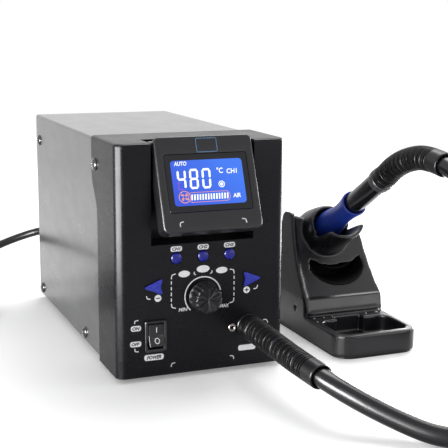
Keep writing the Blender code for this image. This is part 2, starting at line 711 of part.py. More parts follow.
# Display
def build_display():
    at = (0.0, HINGE_DEPTH, HINGE_Z)
    turn = (-FLAP_TILT, 0.0, 0.0)
    outline = filleted(rectangle(-FLAP_HALF, FLAP_HALF, FLAP_LOW, FLAP_TOP), FLAP_CORNER, 4)
    frame = prism("display_frame", outline, "Y", FACE_Y, FACE_Y + FLAP_DEPTH, at, turn)
    inner = filleted(rectangle(-FLAP_HALF + FLAP_WALL, FLAP_HALF - FLAP_WALL, FLAP_LOW + FLAP_WALL,
                               FLAP_TOP - FLAP_WALL), FLAP_CORNER - FLAP_WALL, 4)
    window = rectangle(-WINDOW_HALF, WINDOW_HALF, FLAP_TOP - WINDOW_BOTTOM, FLAP_TOP - WINDOW_TOP)
    cut(frame, prism("hollow", inner, "Y", FACE_Y + FLAP_WALL, 0.05, at, turn),
        prism("opening", filleted(window, 0.0015, 3), "Y", FACE_Y - 0.01, 0.05, at, turn))
    ear = [(FACE_Y + 0.6 * FLAP_DEPTH, FLAP_TOP - 0.0002)]
    ear += [(EAR_R * math.sin(a), EAR_R * math.cos(a)) for a in (math.pi * k / 8 for k in range(9))]
    ear += [(FACE_Y + 0.6 * FLAP_DEPTH, FLAP_TOP - 0.016)]
    for side in (-1, 1):
        low, high = sorted((side * (FLAP_HALF - EAR_T), side * (FLAP_HALF - 0.0001)))
        join(frame, prism("ear", ear, "X", low, high, at, turn))
    bores = [rod("bore", PIN_R + CLEAR, FLAP_HALF - 2 * EAR_T, FLAP_HALF + 0.01, 16, at, facing)
             for facing in (FACING_LEFT, FACING_RIGHT)]
    cut(frame, *bores)
    for name, facing in (("hinge_pin_left", FACING_LEFT), ("hinge_pin_right", FACING_RIGHT)):
        rod(name, PIN_R, FLAP_HALF - EAR_T + CLEAR, BAY_HALF + BAY_WALL - CLEAR, 12, at, facing)
    prism("display_window", filleted(grown(window, -CLEAR), 0.0012, 3), "Y", FACE_Y + 0.0001,
          FACE_Y + 0.0001 + WINDOW_T, at, turn)
    lcd = rectangle(-WINDOW_HALF - 0.002, WINDOW_HALF + 0.002, FLAP_TOP - WINDOW_BOTTOM - 0.002,
                    FLAP_TOP - WINDOW_TOP + 0.002)
    start = FACE_Y + FLAP_WALL + CLEAR
    prism("lcd_module", lcd, "Y", start, start + LCD_T, at, turn)
    board = rectangle(-FLAP_HALF + FLAP_WALL + EAR_T, FLAP_HALF - FLAP_WALL - EAR_T,
                      FLAP_LOW + FLAP_WALL + 0.002, FLAP_TOP - FLAP_WALL - 0.003)
    start += LCD_T + CLEAR
    prism("display_board", board, "Y", start, start + BOARD_T, at, turn)
    back = grown(rectangle(-FLAP_HALF + FLAP_WALL, FLAP_HALF - FLAP_WALL, FLAP_LOW + FLAP_WALL,
                           FLAP_TOP - FLAP_WALL), -CLEAR)
    end = FACE_Y + FLAP_DEPTH
    lid = prism("display_back", filleted(back, FLAP_CORNER - FLAP_WALL, 3), "Y", end - BACK_T, end, at,
                turn)
    ears = [box("notch", (side * FLAP_HALF - EAR_T - CLEAR, -0.05, FLAP_TOP - 0.018),
                (side * FLAP_HALF + EAR_T + CLEAR, 0.05, 0.05), at, turn) for side in (-1, 1)]
    cut(lid, *ears)


# Controls
def build_buttons():
    behind = PANEL_FACE + CLEAR
    stem = BOARD_Y - 0.0038 - BUTTON_TRAVEL - 2 * CLEAR
    for i, x in enumerate(channel_spots(), 1):
        turned("channel_button_%d" % i,
               ((0.0, -stem), (BUTTON_STEM_R, -stem), (BUTTON_STEM_R, -behind - 0.0012),
                (CHANNEL_R + BUTTON_FLANGE, -behind - 0.0012), (CHANNEL_R + BUTTON_FLANGE, -behind),
                (CHANNEL_R, -behind), (CHANNEL_R, 0.5 * BUTTON_OUT), (0.8 * CHANNEL_R, 0.85 * BUTTON_OUT),
                (0.45 * CHANNEL_R, BUTTON_OUT), (0.0, BUTTON_OUT)),
               20, (x, 0.0, CHANNEL_Z), FACING_FRONT)
    for name, side in (("arrow_button_left", -1), ("arrow_button_right", 1)):
        shape = arrow_outline(side)
        centre = side * (ARROW_TIP_X + 2 * ARROW_BASE_X) / 3
        local = [(x - centre, z - ARROW_Z) for x, z in shape]
        at = (centre, 0.0, ARROW_Z)
        key = prism(name, filleted(local, 0.0007, 3), "Y", -BUTTON_OUT, behind + 0.0002, at)
        flange = prism("flange", filleted(grown(local, BUTTON_FLANGE), 0.0007, 3), "Y", behind,
                       behind + 0.0012, at)
        join(key, flange, rod("stem", BUTTON_STEM_R, -stem, -behind - 0.0006, 12, at, FACING_FRONT))


def build_encoder():
    top = BOARD_Y - CLEAR
    floor = 0.0105
    body = box("encoder_body", (-ENCODER_W / 2, PANEL_FACE + 0.0035, KNOB_Z - ENCODER_W / 2),
               (ENCODER_W / 2, top, KNOB_Z + ENCODER_W / 2))
    join(body, rod("bushing", BUSHING_R, -PANEL_FACE - 0.004, 0.0, 20, (0.0, 0.0, KNOB_Z), FACING_FRONT))
    cut(body, rod("bore", SHAFT_R + SLIDE_CLEAR, -floor, 0.01, 20, (0.0, 0.0, KNOB_Z), FACING_FRONT))
    at = (0.0, 0.0, KNOB_Z)
    end = KNOB_GAP + KNOB_H - 0.002
    rod("encoder_shaft", SHAFT_R, -(floor - KNOB_PUSH - 2 * CLEAR), end, 16, at, FACING_FRONT)
    bm = bmesh.new()
    levels = ((KNOB_GAP, 1.0), (KNOB_GAP + 0.0012, 1.0), (KNOB_GAP + 0.0022, 0.95),
              (KNOB_GAP + 0.86 * KNOB_H, 0.90), (KNOB_GAP + KNOB_H, 0.80))
    sides = KNOB_FLUTES * 4
    rings = []
    for i, (height, share) in enumerate(levels):
        ring = []
        for k in range(sides):
            depth = KNOB_FLUTE_DEPTH * (0.0 if i < 2 else (0.0, 0.7, 1.0, 0.7)[k % 4])
            radius = KNOB_R * share - depth
            angle = math.tau * k / sides
            ring.append(bm.verts.new((radius * math.cos(angle), radius * math.sin(angle), height)))
        rings.append(ring)
    for low, high in zip(rings, rings[1:]):
        for k in range(sides):
            bm.faces.new((low[k], low[(k + 1) % sides], high[(k + 1) % sides], high[k]))
    bm.faces.new(rings[0])
    bm.faces.new(rings[-1])
    knob = finish("knob", bm, at, FACING_FRONT)
    cut(knob, rod("bore", SHAFT_R + CLEAR, 0.0, end + CLEAR, 16, at, FACING_FRONT))


def build_switch():
    body_w, body_h = switch_body()
    frame = box("switch_frame", (SWITCH_X - SWITCH_W / 2, -SWITCH_OUT, SWITCH_Z - SWITCH_H / 2),
                (SWITCH_X + SWITCH_W / 2, -CLEAR, SWITCH_Z + SWITCH_H / 2))
    join(frame, box("body", (SWITCH_X - body_w / 2, -0.001, SWITCH_Z - body_h / 2),
                    (SWITCH_X + body_w / 2, SWITCH_BODY, SWITCH_Z + body_h / 2)))
    well_w = SWITCH_W / 2 - SWITCH_RIM
    well_h = SWITCH_H / 2 - SWITCH_RIM
    cut(frame, box("well", (SWITCH_X - well_w, -0.01, SWITCH_Z - well_h),
                   (SWITCH_X + well_w, SWITCH_BODY - 0.004, SWITCH_Z + well_h)))
    reach = well_h - SLIDE_CLEAR - 0.0009
    half = [(-0.0034, 0.0), (-0.0040, 0.45 * reach), (-0.0050, reach), (-0.0040, reach + 0.0004),
            (0.0010, reach), (0.0055, 0.66 * reach), (0.0075, 0.2 * reach)]
    outline = half + [(y, -z) for y, z in reversed(half[1:])]
    prism("switch_rocker", outline, "X", -well_w + CLEAR, well_w - CLEAR,
          (SWITCH_X, ROCKER_PIVOT_Y, SWITCH_Z), (-ROCKER_HALF_ANGLE, 0.0, 0.0))


def build_fittings():
    turned("ground_socket", ((0.001, 0.0009), (GROUND_R - 0.0004, 0.0009), (GROUND_R, 0.0006),
                             (GROUND_R, CLEAR),
                             (GROUND_R - 0.0007, CLEAR), (GROUND_R - 0.0007, -0.010), (0.001, -0.010)),
           14, (GROUND_X, 0.0, GROUND_Z), FACING_FRONT)
    bore = HOSE_R - 0.0015
    turned("hose_gland", ((bore, GLAND_T), (GLAND_R - 0.0006, GLAND_T), (GLAND_R, GLAND_T - 0.0006),
                          (GLAND_R, CLEAR), (GLAND_R - 0.001, CLEAR), (GLAND_R - 0.001, -0.013),
                          (bore, -0.013)), 24, (GLAND_X, 0.0, GLAND_Z), FACING_FRONT)
    board = box("control_board", (-BOARD_HALF, BOARD_Y, BOARD_LOW),
                (BOARD_HALF, BOARD_Y + BOARD_T, BOARD_HIGH))
    keys = [(x, CHANNEL_Z) for x in channel_spots()]
    keys += [(side * (ARROW_TIP_X + 2 * ARROW_BASE_X) / 3, ARROW_Z) for side in (-1, 1)]
    join(board, *[box("key", (x - 0.003, BOARD_Y - 0.0038, z - 0.003),
                      (x + 0.003, BOARD_Y + 0.0005, z + 0.003))
                  for x, z in keys])


# Inside the case
def build_inside():
    floor = BASE_TOP + CLEAR
    low = floor
    core = box("transformer_core", (CORE_X - CORE_W / 2, CORE_Y - CORE_T / 2, low),
               (CORE_X + CORE_W / 2, CORE_Y + CORE_T / 2, low + CORE_H))
    opening = (CORE_W - 4 * CORE_LEG) / 2
    gaps = [box("window", (CORE_X + side * (CORE_LEG + opening / 2) - opening / 2, CORE_Y - CORE_T,
                           low + CORE_LEG),
                (CORE_X + side * (CORE_LEG + opening / 2) + opening / 2, CORE_Y + CORE_T,
                 low + CORE_H - CORE_LEG)) for side in (-1, 1)]
    cut(core, *gaps)
    outer = CORE_LEG + opening - CLEAR
    deep = CORE_T / 2 + COIL_BULGE
    coil = prism("transformer_coil", filleted(rectangle(CORE_X - outer, CORE_X + outer, CORE_Y - deep,
                                                        CORE_Y + deep), 0.006, 4), "Z",
                 low + CORE_LEG + CLEAR, low + CORE_H - CORE_LEG - CLEAR)
    cut(coil, box("leg", (CORE_X - CORE_LEG - CLEAR, CORE_Y - CORE_T / 2 - CLEAR, 0.0),
                  (CORE_X + CORE_LEG + CLEAR, CORE_Y + CORE_T / 2 + CLEAR, 0.2)))
    saddle = floor + BRACKET_H
    centre = saddle + CLEAR + PUMP_R
    pump = turned("air_pump", ((0.0, -PUMP_L / 2), (0.8 * PUMP_R, -PUMP_L / 2), (PUMP_R, -0.45 * PUMP_L),
                               (PUMP_R, -0.2 * PUMP_L), (0.86 * PUMP_R, -0.17 * PUMP_L),
                               (0.86 * PUMP_R, 0.17 * PUMP_L), (PUMP_R, 0.2 * PUMP_L),
                               (PUMP_R, 0.45 * PUMP_L),
                               (0.8 * PUMP_R, PUMP_L / 2), (0.0040, PUMP_L / 2),
                               (0.0040, PUMP_L / 2 + 0.014),
                               (0.0, PUMP_L / 2 + 0.014)), 24, (PUMP_X, PUMP_Y, centre), FACING_FRONT)
    rounded_shade(pump, math.radians(30))
    bracket = box("pump_bracket", (PUMP_X - PUMP_R, PUMP_Y - 0.42 * PUMP_L, floor),
                  (PUMP_X + PUMP_R, PUMP_Y + 0.42 * PUMP_L, centre - 0.45 * PUMP_R))
    cut(bracket, rod("saddle", PUMP_R + CLEAR, -PUMP_L, PUMP_L, 24, (PUMP_X, PUMP_Y, centre),
                     FACING_FRONT),
        box("tunnel", (PUMP_X - PUMP_R + 4 * BRACKET_T, 0.0, floor + BRACKET_T),
            (PUMP_X + PUMP_R - 4 * BRACKET_T, CASE_BACK, saddle - BRACKET_T)))
    deck = floor + POWER_STANDOFF
    board = box("power_board", (POWER_X - POWER_W / 2, POWER_Y - POWER_L / 2, deck),
                (POWER_X + POWER_W / 2, POWER_Y + POWER_L / 2, deck + BOARD_T))
    legs = [rod("leg", 0.0025, 0.0, POWER_STANDOFF + 0.0005, 10,
                (POWER_X + sx * (POWER_W / 2 - 0.005), POWER_Y + sy * (POWER_L / 2 - 0.005), floor))
            for sx in (-1, 1) for sy in (-1, 1)]
    join(board, *legs)
    base = deck + BOARD_T + CLEAR
    sink = box("heatsink", (POWER_X - HEATSINK_W / 2, POWER_Y - HEATSINK_L / 2, base),
               (POWER_X + HEATSINK_W / 2, POWER_Y + HEATSINK_L / 2, base + HEATSINK_H))
    pitch = HEATSINK_W / (HEATSINK_FINS - 0.5)
    slots = [box("slot", (POWER_X - HEATSINK_W / 2 + (i + 0.5) * pitch, 0.0, base + 0.004),
                 (POWER_X - HEATSINK_W / 2 + (i + 1.0) * pitch, CASE_BACK, base + 2 * HEATSINK_H))
             for i in range(HEATSINK_FINS - 1)]
    cut(sink, *slots)


# Rear fittings
def build_rear_fittings():
    inner = CORD_GLAND_R - 0.0015
    tip = CORD_GLAND_LENGTH
    steps = [(inner, -0.008), (inner, CLEAR), (CORD_GLAND_R, CLEAR), (CORD_GLAND_R, 0.003)]
    grooves = 4
    for i in range(grooves):
        share = i / grooves
        radius = CORD_GLAND_R - 0.0012 - 0.0012 * share
        z = 0.003 + (tip - 0.003) * share
        step = (tip - 0.003) / grooves
        steps += [(radius, z + 0.1 * step), (radius, z + 0.65 * step), (radius - 0.0007, z + 0.75 * step),
                  (radius - 0.0007, z + 1.0 * step)]
    bore = LEAD_R + CLEAR
    steps[-1] = (steps[-1][0], tip)
    profile = [(0.0, -0.008)] + steps + [(bore, tip), (bore, tip - SLEEVE_SEAT), (0.0, tip - SLEEVE_SEAT)]
    turned("cord_gland", profile, 14, (CORD_GLAND_X, CASE_BACK, CORD_GLAND_Z), FACING_REAR)
    at = (FUSE_X, CASE_BACK, CORD_GLAND_Z)
    well = FUSE_R - 0.0030
    turned("fuse_holder", ((0.0, -0.024), (FUSE_R - 0.0015, -0.024), (FUSE_R - 0.0015, CLEAR),
                           (FUSE_R, CLEAR),
                           (FUSE_R, 0.002), (well, 0.002), (well, -0.018), (0.0, -0.018)), 18, at,
           FACING_REAR)
    turned("fuse_cap", ((0.0, -0.017), (well - CLEAR, -0.017), (well - CLEAR, 0.002 + CLEAR),
                        (FUSE_R - 0.0006, 0.002 + CLEAR), (FUSE_R - 0.0010, 0.0085),
                        (FUSE_R - 0.0020, 0.0095),
                        (0.0, 0.0095)), 18, at, FACING_REAR)


# Handle stand
def face_curve(count):
    """The stand's hollowed front slope, from the top of the upright band to the ridge."""
    low = Vector((BAND_Y + 0.0015, BAND_TOP_Z))
    bend = Vector((FACE_CURVE_Y, FACE_CURVE_Z))
    high = Vector((FACE_TOP_Y, STAND_TOP - 0.002))
    return [low.lerp(bend, k / count).lerp(bend.lerp(high, k / count), k / count)
            for k in range(count + 1)]


def stand_outline(z0):
    """Side view of the stand: tray, upright band, hollow slope, rounded ridge and sloping back."""
    points = [(STAND_FRONT, z0), (STAND_FRONT, TRAY_RIM_Z), (BAND_Y, TRAY_RIM_Z)]
    points += [tuple(p) for p in face_curve(8)]
    ridge = STAND_BACK - 0.016
    points += [(FACE_TOP_Y + 0.0018, STAND_TOP), (ridge - 0.002, STAND_TOP),
               (ridge + 0.002, STAND_TOP - 0.003)]
    points += [(STAND_BACK - 0.005, 0.55 * STAND_TOP), (STAND_BACK - 0.0005, 0.25 * STAND_TOP),
               (STAND_BACK, z0)]
    return points[::-1]


def front_taper(z0, inset):
    half = STAND_HALF - inset
    top = STAND_TOP_HALF - inset
    return ((STAND_X - half, z0), (STAND_X + half, z0), (STAND_X + half, 0.34 * STAND_TOP),
            (STAND_X + top, STAND_TOP + 0.002), (STAND_X - top, STAND_TOP + 0.002),
            (STAND_X - half, 0.34 * STAND_TOP))


def cup_solid():
    """Outer skin of the cradle cup: a round wall whose front rises into a flared lip."""
    bm = bmesh.new()
    sides = 36
    rings = []
    for level in range(5):
        ring = []
        for k in range(sides):
            angle = math.tau * k / sides
            away = math.degrees(abs((angle + math.pi / 2 + math.pi) % math.tau - math.pi))
            lip = min(max((57.0 - away) / 14.0, 0.0), 1.0)
            lip = lip * lip * (3 - 2 * lip)
            notch = math.exp(-((away - 57.0) / 9.0) ** 2) * 0.0015
            rim = CUP_RIM - notch + CUP_LIP_RISE * lip
            share = (0.0, 0.3, 0.55, 0.8, 1.0)[level]
            height = CUP_ROOT + (rim - CUP_ROOT) * share
            radius = CUP_ROOT_R + (CUP_R - CUP_ROOT_R) * min(share * 1.4, 1.0)
            radius += CUP_LIP_FLARE * lip * share ** 3
            ring.append(bm.verts.new((radius * math.cos(angle), radius * math.sin(angle), height)))
        rings.append(ring)
    for low, high in zip(rings, rings[1:]):
        for k in range(sides):
            bm.faces.new((low[k], low[(k + 1) % sides], high[(k + 1) % sides], high[k]))
    bm.faces.new(rings[0])
    centre = bm.verts.new((0.0, 0.0, CUP_RIM))
    for k in range(sides):
        bm.faces.new((rings[-1][k], rings[-1][(k + 1) % sides], centre))
    return finish("cup", bm, HANDLE_AT, ALONG_HANDLE)


def pocket_outline():
    """Kidney-shaped pocket: an ellipse bent along a rising middle line."""
    points = []
    for k in range(32):
        angle = math.tau * k / 32
        x = POCKET_HALF * math.cos(angle)
        bend = POCKET_RISE * (x / POCKET_HALF) ** 2
        points.append((STAND_X + x, POCKET_Z + bend + POCKET_HALF_H * math.sin(angle)))
    return points


def build_stand():
    z0 = SOLE_T + CLEAR
    plan = filleted(rectangle(STAND_X - STAND_HALF, STAND_X + STAND_HALF, STAND_FRONT, STAND_BACK),
                    (STAND_CORNER, STAND_CORNER, 0.8 * STAND_CORNER, 0.8 * STAND_CORNER), 5)
    body = prism("stand_body", stand_outline(z0), "X", STAND_X - STAND_HALF, STAND_X + STAND_HALF)
    common(body, prism("taper", front_taper(z0 - 0.001, 0.0), "Y", STAND_FRONT - 0.01, STAND_BACK + 0.01))
    common(body, prism("plan", plan, "Z", z0 - 0.002, STAND_TOP + 0.01))
    curve = [(p.x + FACE_RECESS, p.y) for p in face_curve(8)[1:]]
    recess = prism("recess", curve + [(FACE_TOP_Y + FACE_RECESS, STAND_TOP + 0.01),
                                      (BAND_Y, STAND_TOP + 0.01), (BAND_Y - 0.01, curve[0][1])], "X",
                   STAND_X - STAND_HALF, STAND_X + STAND_HALF)
    common(recess, prism("taper", front_taper(0.0, FACE_SIDE), "Y", 0.0, STAND_BACK))
    cut(body, recess)
    join(body, cup_solid())
    sides = rectangle(STAND_X - TRAY_HALF, STAND_X + TRAY_HALF, TRAY_FRONT, TRAY_BACK)
    tray = prism("tray", filleted(sides, TRAY_CORNER, 4), "Z", TRAY_FLOOR_Z, 2 * TRAY_RIM_Z)
    slot = filleted(rectangle(STAND_X + NOTCH_LEFT, STAND_X + NOTCH_RIGHT, TRAY_BACK - 0.01,
                              NOTCH_BACK), 0.002, 3)
    join(tray, prism("notch", slot, "Z", TRAY_FLOOR_Z, 2 * TRAY_RIM_Z))
    cut(body, tray)
    face_y = face_curve(8)[3].x
    cut(body, prism("pocket", pocket_outline(), "Y", BAND_Y - 0.005, face_y + POCKET_DEPTH))
    wall = CUP_R - CUP_WALL
    bore = turned("bore", ((0.0, -0.14), (HANDLE_BORE_R, -0.14), (HANDLE_BORE_R, CUP_FLOOR - 0.003),
                           (wall - 0.0008, CUP_FLOOR), (wall, CUP_RIM),
                           (wall + CUP_LIP_FLARE, CUP_RIM + CUP_LIP_RISE),
                           (wall + CUP_LIP_FLARE + 0.001, CUP_RIM + CUP_LIP_RISE + 0.01),
                           (0.0, CUP_RIM + CUP_LIP_RISE + 0.01)), 28, HANDLE_AT, ALONG_HANDLE)
    cut(body, bore)
    cut(body, rod("hole", FLANK_HOLE_R, -0.001, 0.004, 10, (STAND_X - STAND_HALF, 0.062, 0.0205),
                  FACING_RIGHT))
    split_stand(body)
    sole = filleted(rectangle(STAND_X - STAND_HALF + 0.0012, STAND_X + STAND_HALF - 0.0012,
                              STAND_FRONT + 0.0012, STAND_BACK - 0.0012),
                    (STAND_CORNER, STAND_CORNER, 0.8 * STAND_CORNER, 0.8 * STAND_CORNER), 5)
    prism("stand_base", sole, "Z", 0.0, SOLE_T)


def split_stand(body):
    """Part the stand across the ledge behind the tray: the tray's half, and the half with the cup."""
    tray = body.copy()
    tray.data = body.data.copy()
    tray.name = "stand_tray"
    bpy.context.collection.objects.link(tray)
    seam = NOTCH_BACK + NOTCH_WALL
    left, right = STAND_X - STAND_HALF - 0.01, STAND_X + STAND_HALF + 0.01
    cut(tray, box("rear_half", (left, seam - CLEAR / 2, -0.01), (right, STAND_BACK + 0.01, 2 * STAND_TOP)))
    cut(body, box("front_half", (left, STAND_FRONT - 0.01, -0.01),
                  (right, seam + CLEAR / 2, TRAY_RIM_Z + 0.002)))


# Handle
def build_handle():
    turned("handle_collar",
           ((HEATER_R + CLEAR, COLLAR_LOW), (COLLAR_LOW_R - 0.0008, COLLAR_LOW),
            (COLLAR_LOW_R, COLLAR_LOW + 0.001),
            (COLLAR_LOW_R, COLLAR_LOW + 0.011), (0.5 * (COLLAR_LOW_R + COLLAR_WAIST_R),
                                                 COLLAR_LOW + 0.018),
            (COLLAR_WAIST_R, COLLAR_WAIST), (0.35 * COLLAR_RIM_R + 0.65 * COLLAR_WAIST_R,
                                             0.45 * COLLAR_WAIST),
            (COLLAR_RIM_R, -0.0015), (COLLAR_RIM_R, 0.0), (TUBE_R + CLEAR, 0.0),
            (TUBE_R + CLEAR, -TUBE_SEAT),
            (HEATER_R + CLEAR, -TUBE_SEAT)), 24, HANDLE_AT, ALONG_HANDLE)
    rod("handle_tube", TUBE_R, -TUBE_SEAT + CLEAR, TUBE_END, 24, HANDLE_AT, ALONG_HANDLE)
    bore = HEATER_R - HEATER_WALL
    cap = -TUBE_SEAT - CLEAR
    turned("heater_tube", ((0.0, cap), (HEATER_R, cap), (HEATER_R, HEATER_END), (bore, HEATER_END),
                           (bore, cap - 0.002), (0.0, cap - 0.002)), 20, HANDLE_AT, ALONG_HANDLE)
    rod("heater_core", bore - CLEAR, HEATER_END + 0.006, cap - 0.002 - CLEAR, 14, HANDLE_AT, ALONG_HANDLE)
    tip = HEATER_END - NOZZLE_LENGTH + NOZZLE_LAP
    lap = HEATER_END + NOZZLE_LAP
    turned("nozzle", ((HEATER_R + CLEAR, lap), (NOZZLE_R, lap), (NOZZLE_R, HEATER_END - 0.001),
                      (NOZZLE_TIP_R, tip + 0.004), (NOZZLE_TIP_R, tip), (NOZZLE_TIP_R - 0.0008, tip),
                      (NOZZLE_TIP_R - 0.0008, tip + 0.004), (HEATER_R - 0.0009, HEATER_END - CLEAR),
                      (HEATER_R + CLEAR, HEATER_END - CLEAR)), 20, HANDLE_AT, ALONG_HANDLE)


def ribbed_profile(low, high):
    """Strain-relief ribs: shares of the length with the radius at each edge of every rib."""
    steps = []
    for i in range(SLEEVE_RIBS):
        start = low + (high - low) * i / SLEEVE_RIBS
        step = (high - low) / SLEEVE_RIBS
        radius = SLEEVE_R + (SLEEVE_END_R - SLEEVE_R) * i / SLEEVE_RIBS
        steps += [(start, radius - SLEEVE_RIB), (start + 0.30 * step, radius),
                  (start + 0.70 * step, radius)]
    return steps


def build_sleeves():
    length = (Vector(STATION_SLEEVE_ROUTE[-1]) - Vector(STATION_SLEEVE_ROUTE[0])).length
    smooth = 1.0 - SLEEVE_SMOOTH / length
    tail = [(smooth, SLEEVE_END_R - SLEEVE_RIB), (smooth + 0.01, SLEEVE_END_R), (0.985, SLEEVE_END_R),
            (1.0, SLEEVE_END_R - 0.0003)]
    profile = [(0.0, SLEEVE_R - 0.001), (0.03, SLEEVE_R)] + ribbed_profile(0.05, smooth - 0.01) + tail
    bore = HOSE_R + 2 * CLEAR
    seat = [(SLEEVE_SEAT * share, bore + SLEEVE_FLARE * (1.0 - share)) for share in (0.0, 0.33, 0.67,
                                                                                     1.0)]
    turned_along("hose_sleeve_station", STATION_SLEEVE_ROUTE, profile, 12, seat)
    start = Vector(HANDLE_AT) + handle_axis() * (TUBE_END + CLEAR)
    route = [tuple(start), tuple(start + handle_axis() * 0.008)]
    route += [(STAND_X, y, z) for y, z in HANDLE_SLEEVE_ROUTE]
    turned_along("hose_sleeve_handle", route, profile, 12, seat)
    return route


def handle_axis():
    return Vector((0.0, -math.cos(AXIS_TILT), math.sin(AXIS_TILT)))


# Cords
def sleeve_seat(route):
    """The start of a hose inside its sleeve, along the sleeve's own axis and clear of its floor."""
    fine = smooth_route(route, 0.0005)
    runs = [0.0]
    for a, b in zip(fine[::-1], fine[-2::-1]):
        runs.append(runs[-1] + (b - a).length)
    deep = max(i for i, run in enumerate(runs) if run < SLEEVE_SEAT - 2 * CLEAR)
    return [fine[-1 - deep], fine[-1 - deep // 2], fine[-1]]


def arc(x, y, radius, start, end, count):
    """Hose lying on the table along part of a circle; the angles are in degrees."""
    angles = [math.radians(start + (end - start) * k / (count - 1)) for k in range(count)]
    return [Vector((x + radius * math.cos(a), y + radius * math.sin(a), HOSE_Z)) for a in angles]


def build_cords(handle_sleeve_route):
    side = HOSE_BEND_X + HOSE_BEND_R
    middle = side + HOSE_LOOP_R
    landing = arc(middle, HOSE_LOOP_Y - HOSE_MEET / 2, HOSE_LOOP_R, -72.0, 0.0, 5)
    back = arc(middle, HOSE_LOOP_Y + HOSE_MEET / 2, HOSE_LOOP_R, 0.0, 180.0, 10)
    bend = arc(HOSE_BEND_X, HOSE_BEND_Y, HOSE_BEND_R, 225.0, 360.0, 8)
    meeting = Vector((middle + HOSE_LOOP_R, HOSE_LOOP_Y, HOSE_Z))
    station = sleeve_seat(STATION_SLEEVE_ROUTE) + [Vector(p) for p in STATION_HOSE_ROUTE]
    station += bend + back[::-1] + [meeting + Vector((0.0, CLEAR, 0.0))]
    handle = sleeve_seat(handle_sleeve_route) + [Vector(p) for p in HANDLE_HOSE_ROUTE]
    handle += landing + [meeting]
    cord("hose_station_run", station, HOSE_R, 0.012, 3)
    cord("hose_handle_run", handle, HOSE_R, 0.016, 3)
    gland = Vector((CORD_GLAND_X, CASE_BACK + CORD_GLAND_LENGTH, CORD_GLAND_Z))
    lead = [gland + Vector((0.0, CLEAR - SLEEVE_SEAT, 0.0)), gland] + [Vector(p) for p in LEAD_ROUTE]
    across = 2 * LEAD_R * COIL_TURN_COLUMNS
    beside = COIL_R + across / 2 + LEAD_R + 2 * CLEAR
    for degrees, lift in zip(LEAD_LANDING, (0.0022, 0.0006, 0.0001)):
        angle = math.radians(degrees)
        lead.append(Vector((COIL_X + beside * math.cos(angle), COIL_Y + beside * math.sin(angle),
                            LEAD_R + lift)))
    cord("mains_cord", lead, LEAD_R, 0.009, 2)
    height = 2 * LEAD_R * COIL_TURN_ROWS
    ring = filleted(rectangle(COIL_R - across / 2, COIL_R + across / 2, 0.0, height), LEAD_R, 2)
    turned("mains_coil", ring, 28, (COIL_X, COIL_Y, 0.0))


def build_plug():
    outer = COIL_R + LEAD_R * COIL_TURN_COLUMNS
    x = COIL_X - COIL_R
    entry = COIL_Y - math.sqrt(outer ** 2 - (COIL_R - LEAD_R - 0.0015) ** 2) - CLEAR
    neck = LEAD_R + 0.0015
    profile = ((0.0, 0.0), (neck, 0.0), (neck + 0.0008, 0.012), (0.55 * PLUG_R, 0.014),
               (0.62 * PLUG_R, 0.020), (0.95 * PLUG_R, 0.026), (PLUG_R, 0.028), (PLUG_R, PLUG_L),
               (0.0, PLUG_L))
    at = (x, entry, PLUG_R)
    plug = turned("mains_plug", profile, 20, at, FACING_FRONT)
    pins = [rod("pin", PLUG_PIN_R, PLUG_L - 0.002, PLUG_L + PLUG_PIN_L, 12,
                (x + side * PLUG_PIN_GAP / 2, entry, PLUG_R), FACING_FRONT) for side in (-1, 1)]
    join(plug, *pins)


# Assembly
FINISH_OF = {
    "case_cover": "case_black", "base_plate": "case_black", "rear_panel": "case_black",
    "front_panel": "panel_black", "display_frame": "bay_black", "display_back": "bay_black",
    "display_window": "window_dark", "lcd_module": "lcd_blue", "display_board": "board_green",
    "hinge_pin": "steel", "channel_button": "button_blue", "arrow_button": "button_blue",
    "control_board": "board_green", "encoder_body": "steel", "encoder_shaft": "steel",
             "knob": "knob_black",
    "switch_frame": "knob_black", "switch_rocker": "knob_black", "ground_socket": "steel",
    "hose_gland": "rubber_black", "hose_sleeve": "rubber_black", "transformer_core": "core_grey",
    "transformer_coil": "copper", "air_pump": "core_grey", "pump_bracket": "steel",
    "power_board": "board_green", "heatsink": "aluminium", "cord_gland": "rubber_black",
    "fuse_holder": "knob_black", "fuse_cap": "knob_black", "foot": "rubber_black",
    "side_screw": "screw_black", "stand_body": "stand_black", "stand_tray": "stand_black",
    "stand_base": "rubber_black",
    "handle_tube": "stand_black", "handle_collar": "collar_blue", "heater_tube": "steel",
    "heater_core": "ceramic", "nozzle": "steel", "hose_station_run": "hose_black",
    "hose_handle_run": "hose_black", "mains": "hose_black",
}
CORD_PIECES = ("hose_station_run", "hose_handle_run", "mains_cord", "mains_coil", "mains_plug",
               "cord_gland")


def dress(looks):
    """Give each piece its finish and smooth shading."""
    for item in bpy.data.objects:
        keys = [key for key in FINISH_OF if item.name.startswith(key)]
        item.data.materials.clear()
        item.data.materials.append(looks[FINISH_OF[max(keys, key=len)]])
        rounded_shade(item, math.radians(35))


def centre_on_base():
    """Parent every piece to an empty that puts the middle of the footprint, cords apart, at the origin."""
    bpy.context.view_layer.update()
    corners = [item.matrix_world @ Vector(corner) for item in bpy.data.objects
               if item.name not in CORD_PIECES for corner in item.bound_box]
    spots = [item.matrix_world @ vertex.co for item in bpy.data.objects
             if item.name not in CORD_PIECES and item.type == "MESH" for vertex in item.data.vertices]
    spots = spots or corners
    middle = [(min(p[i] for p in spots) + max(p[i] for p in spots)) / 2 for i in (0, 1)]
    pieces = list(bpy.data.objects)
    root = bpy.data.objects.new(ROOT, None)
    bpy.context.collection.objects.link(root)
    root.location = (-middle[0], -middle[1], 0.0)
    for piece in pieces:
        piece.parent = root


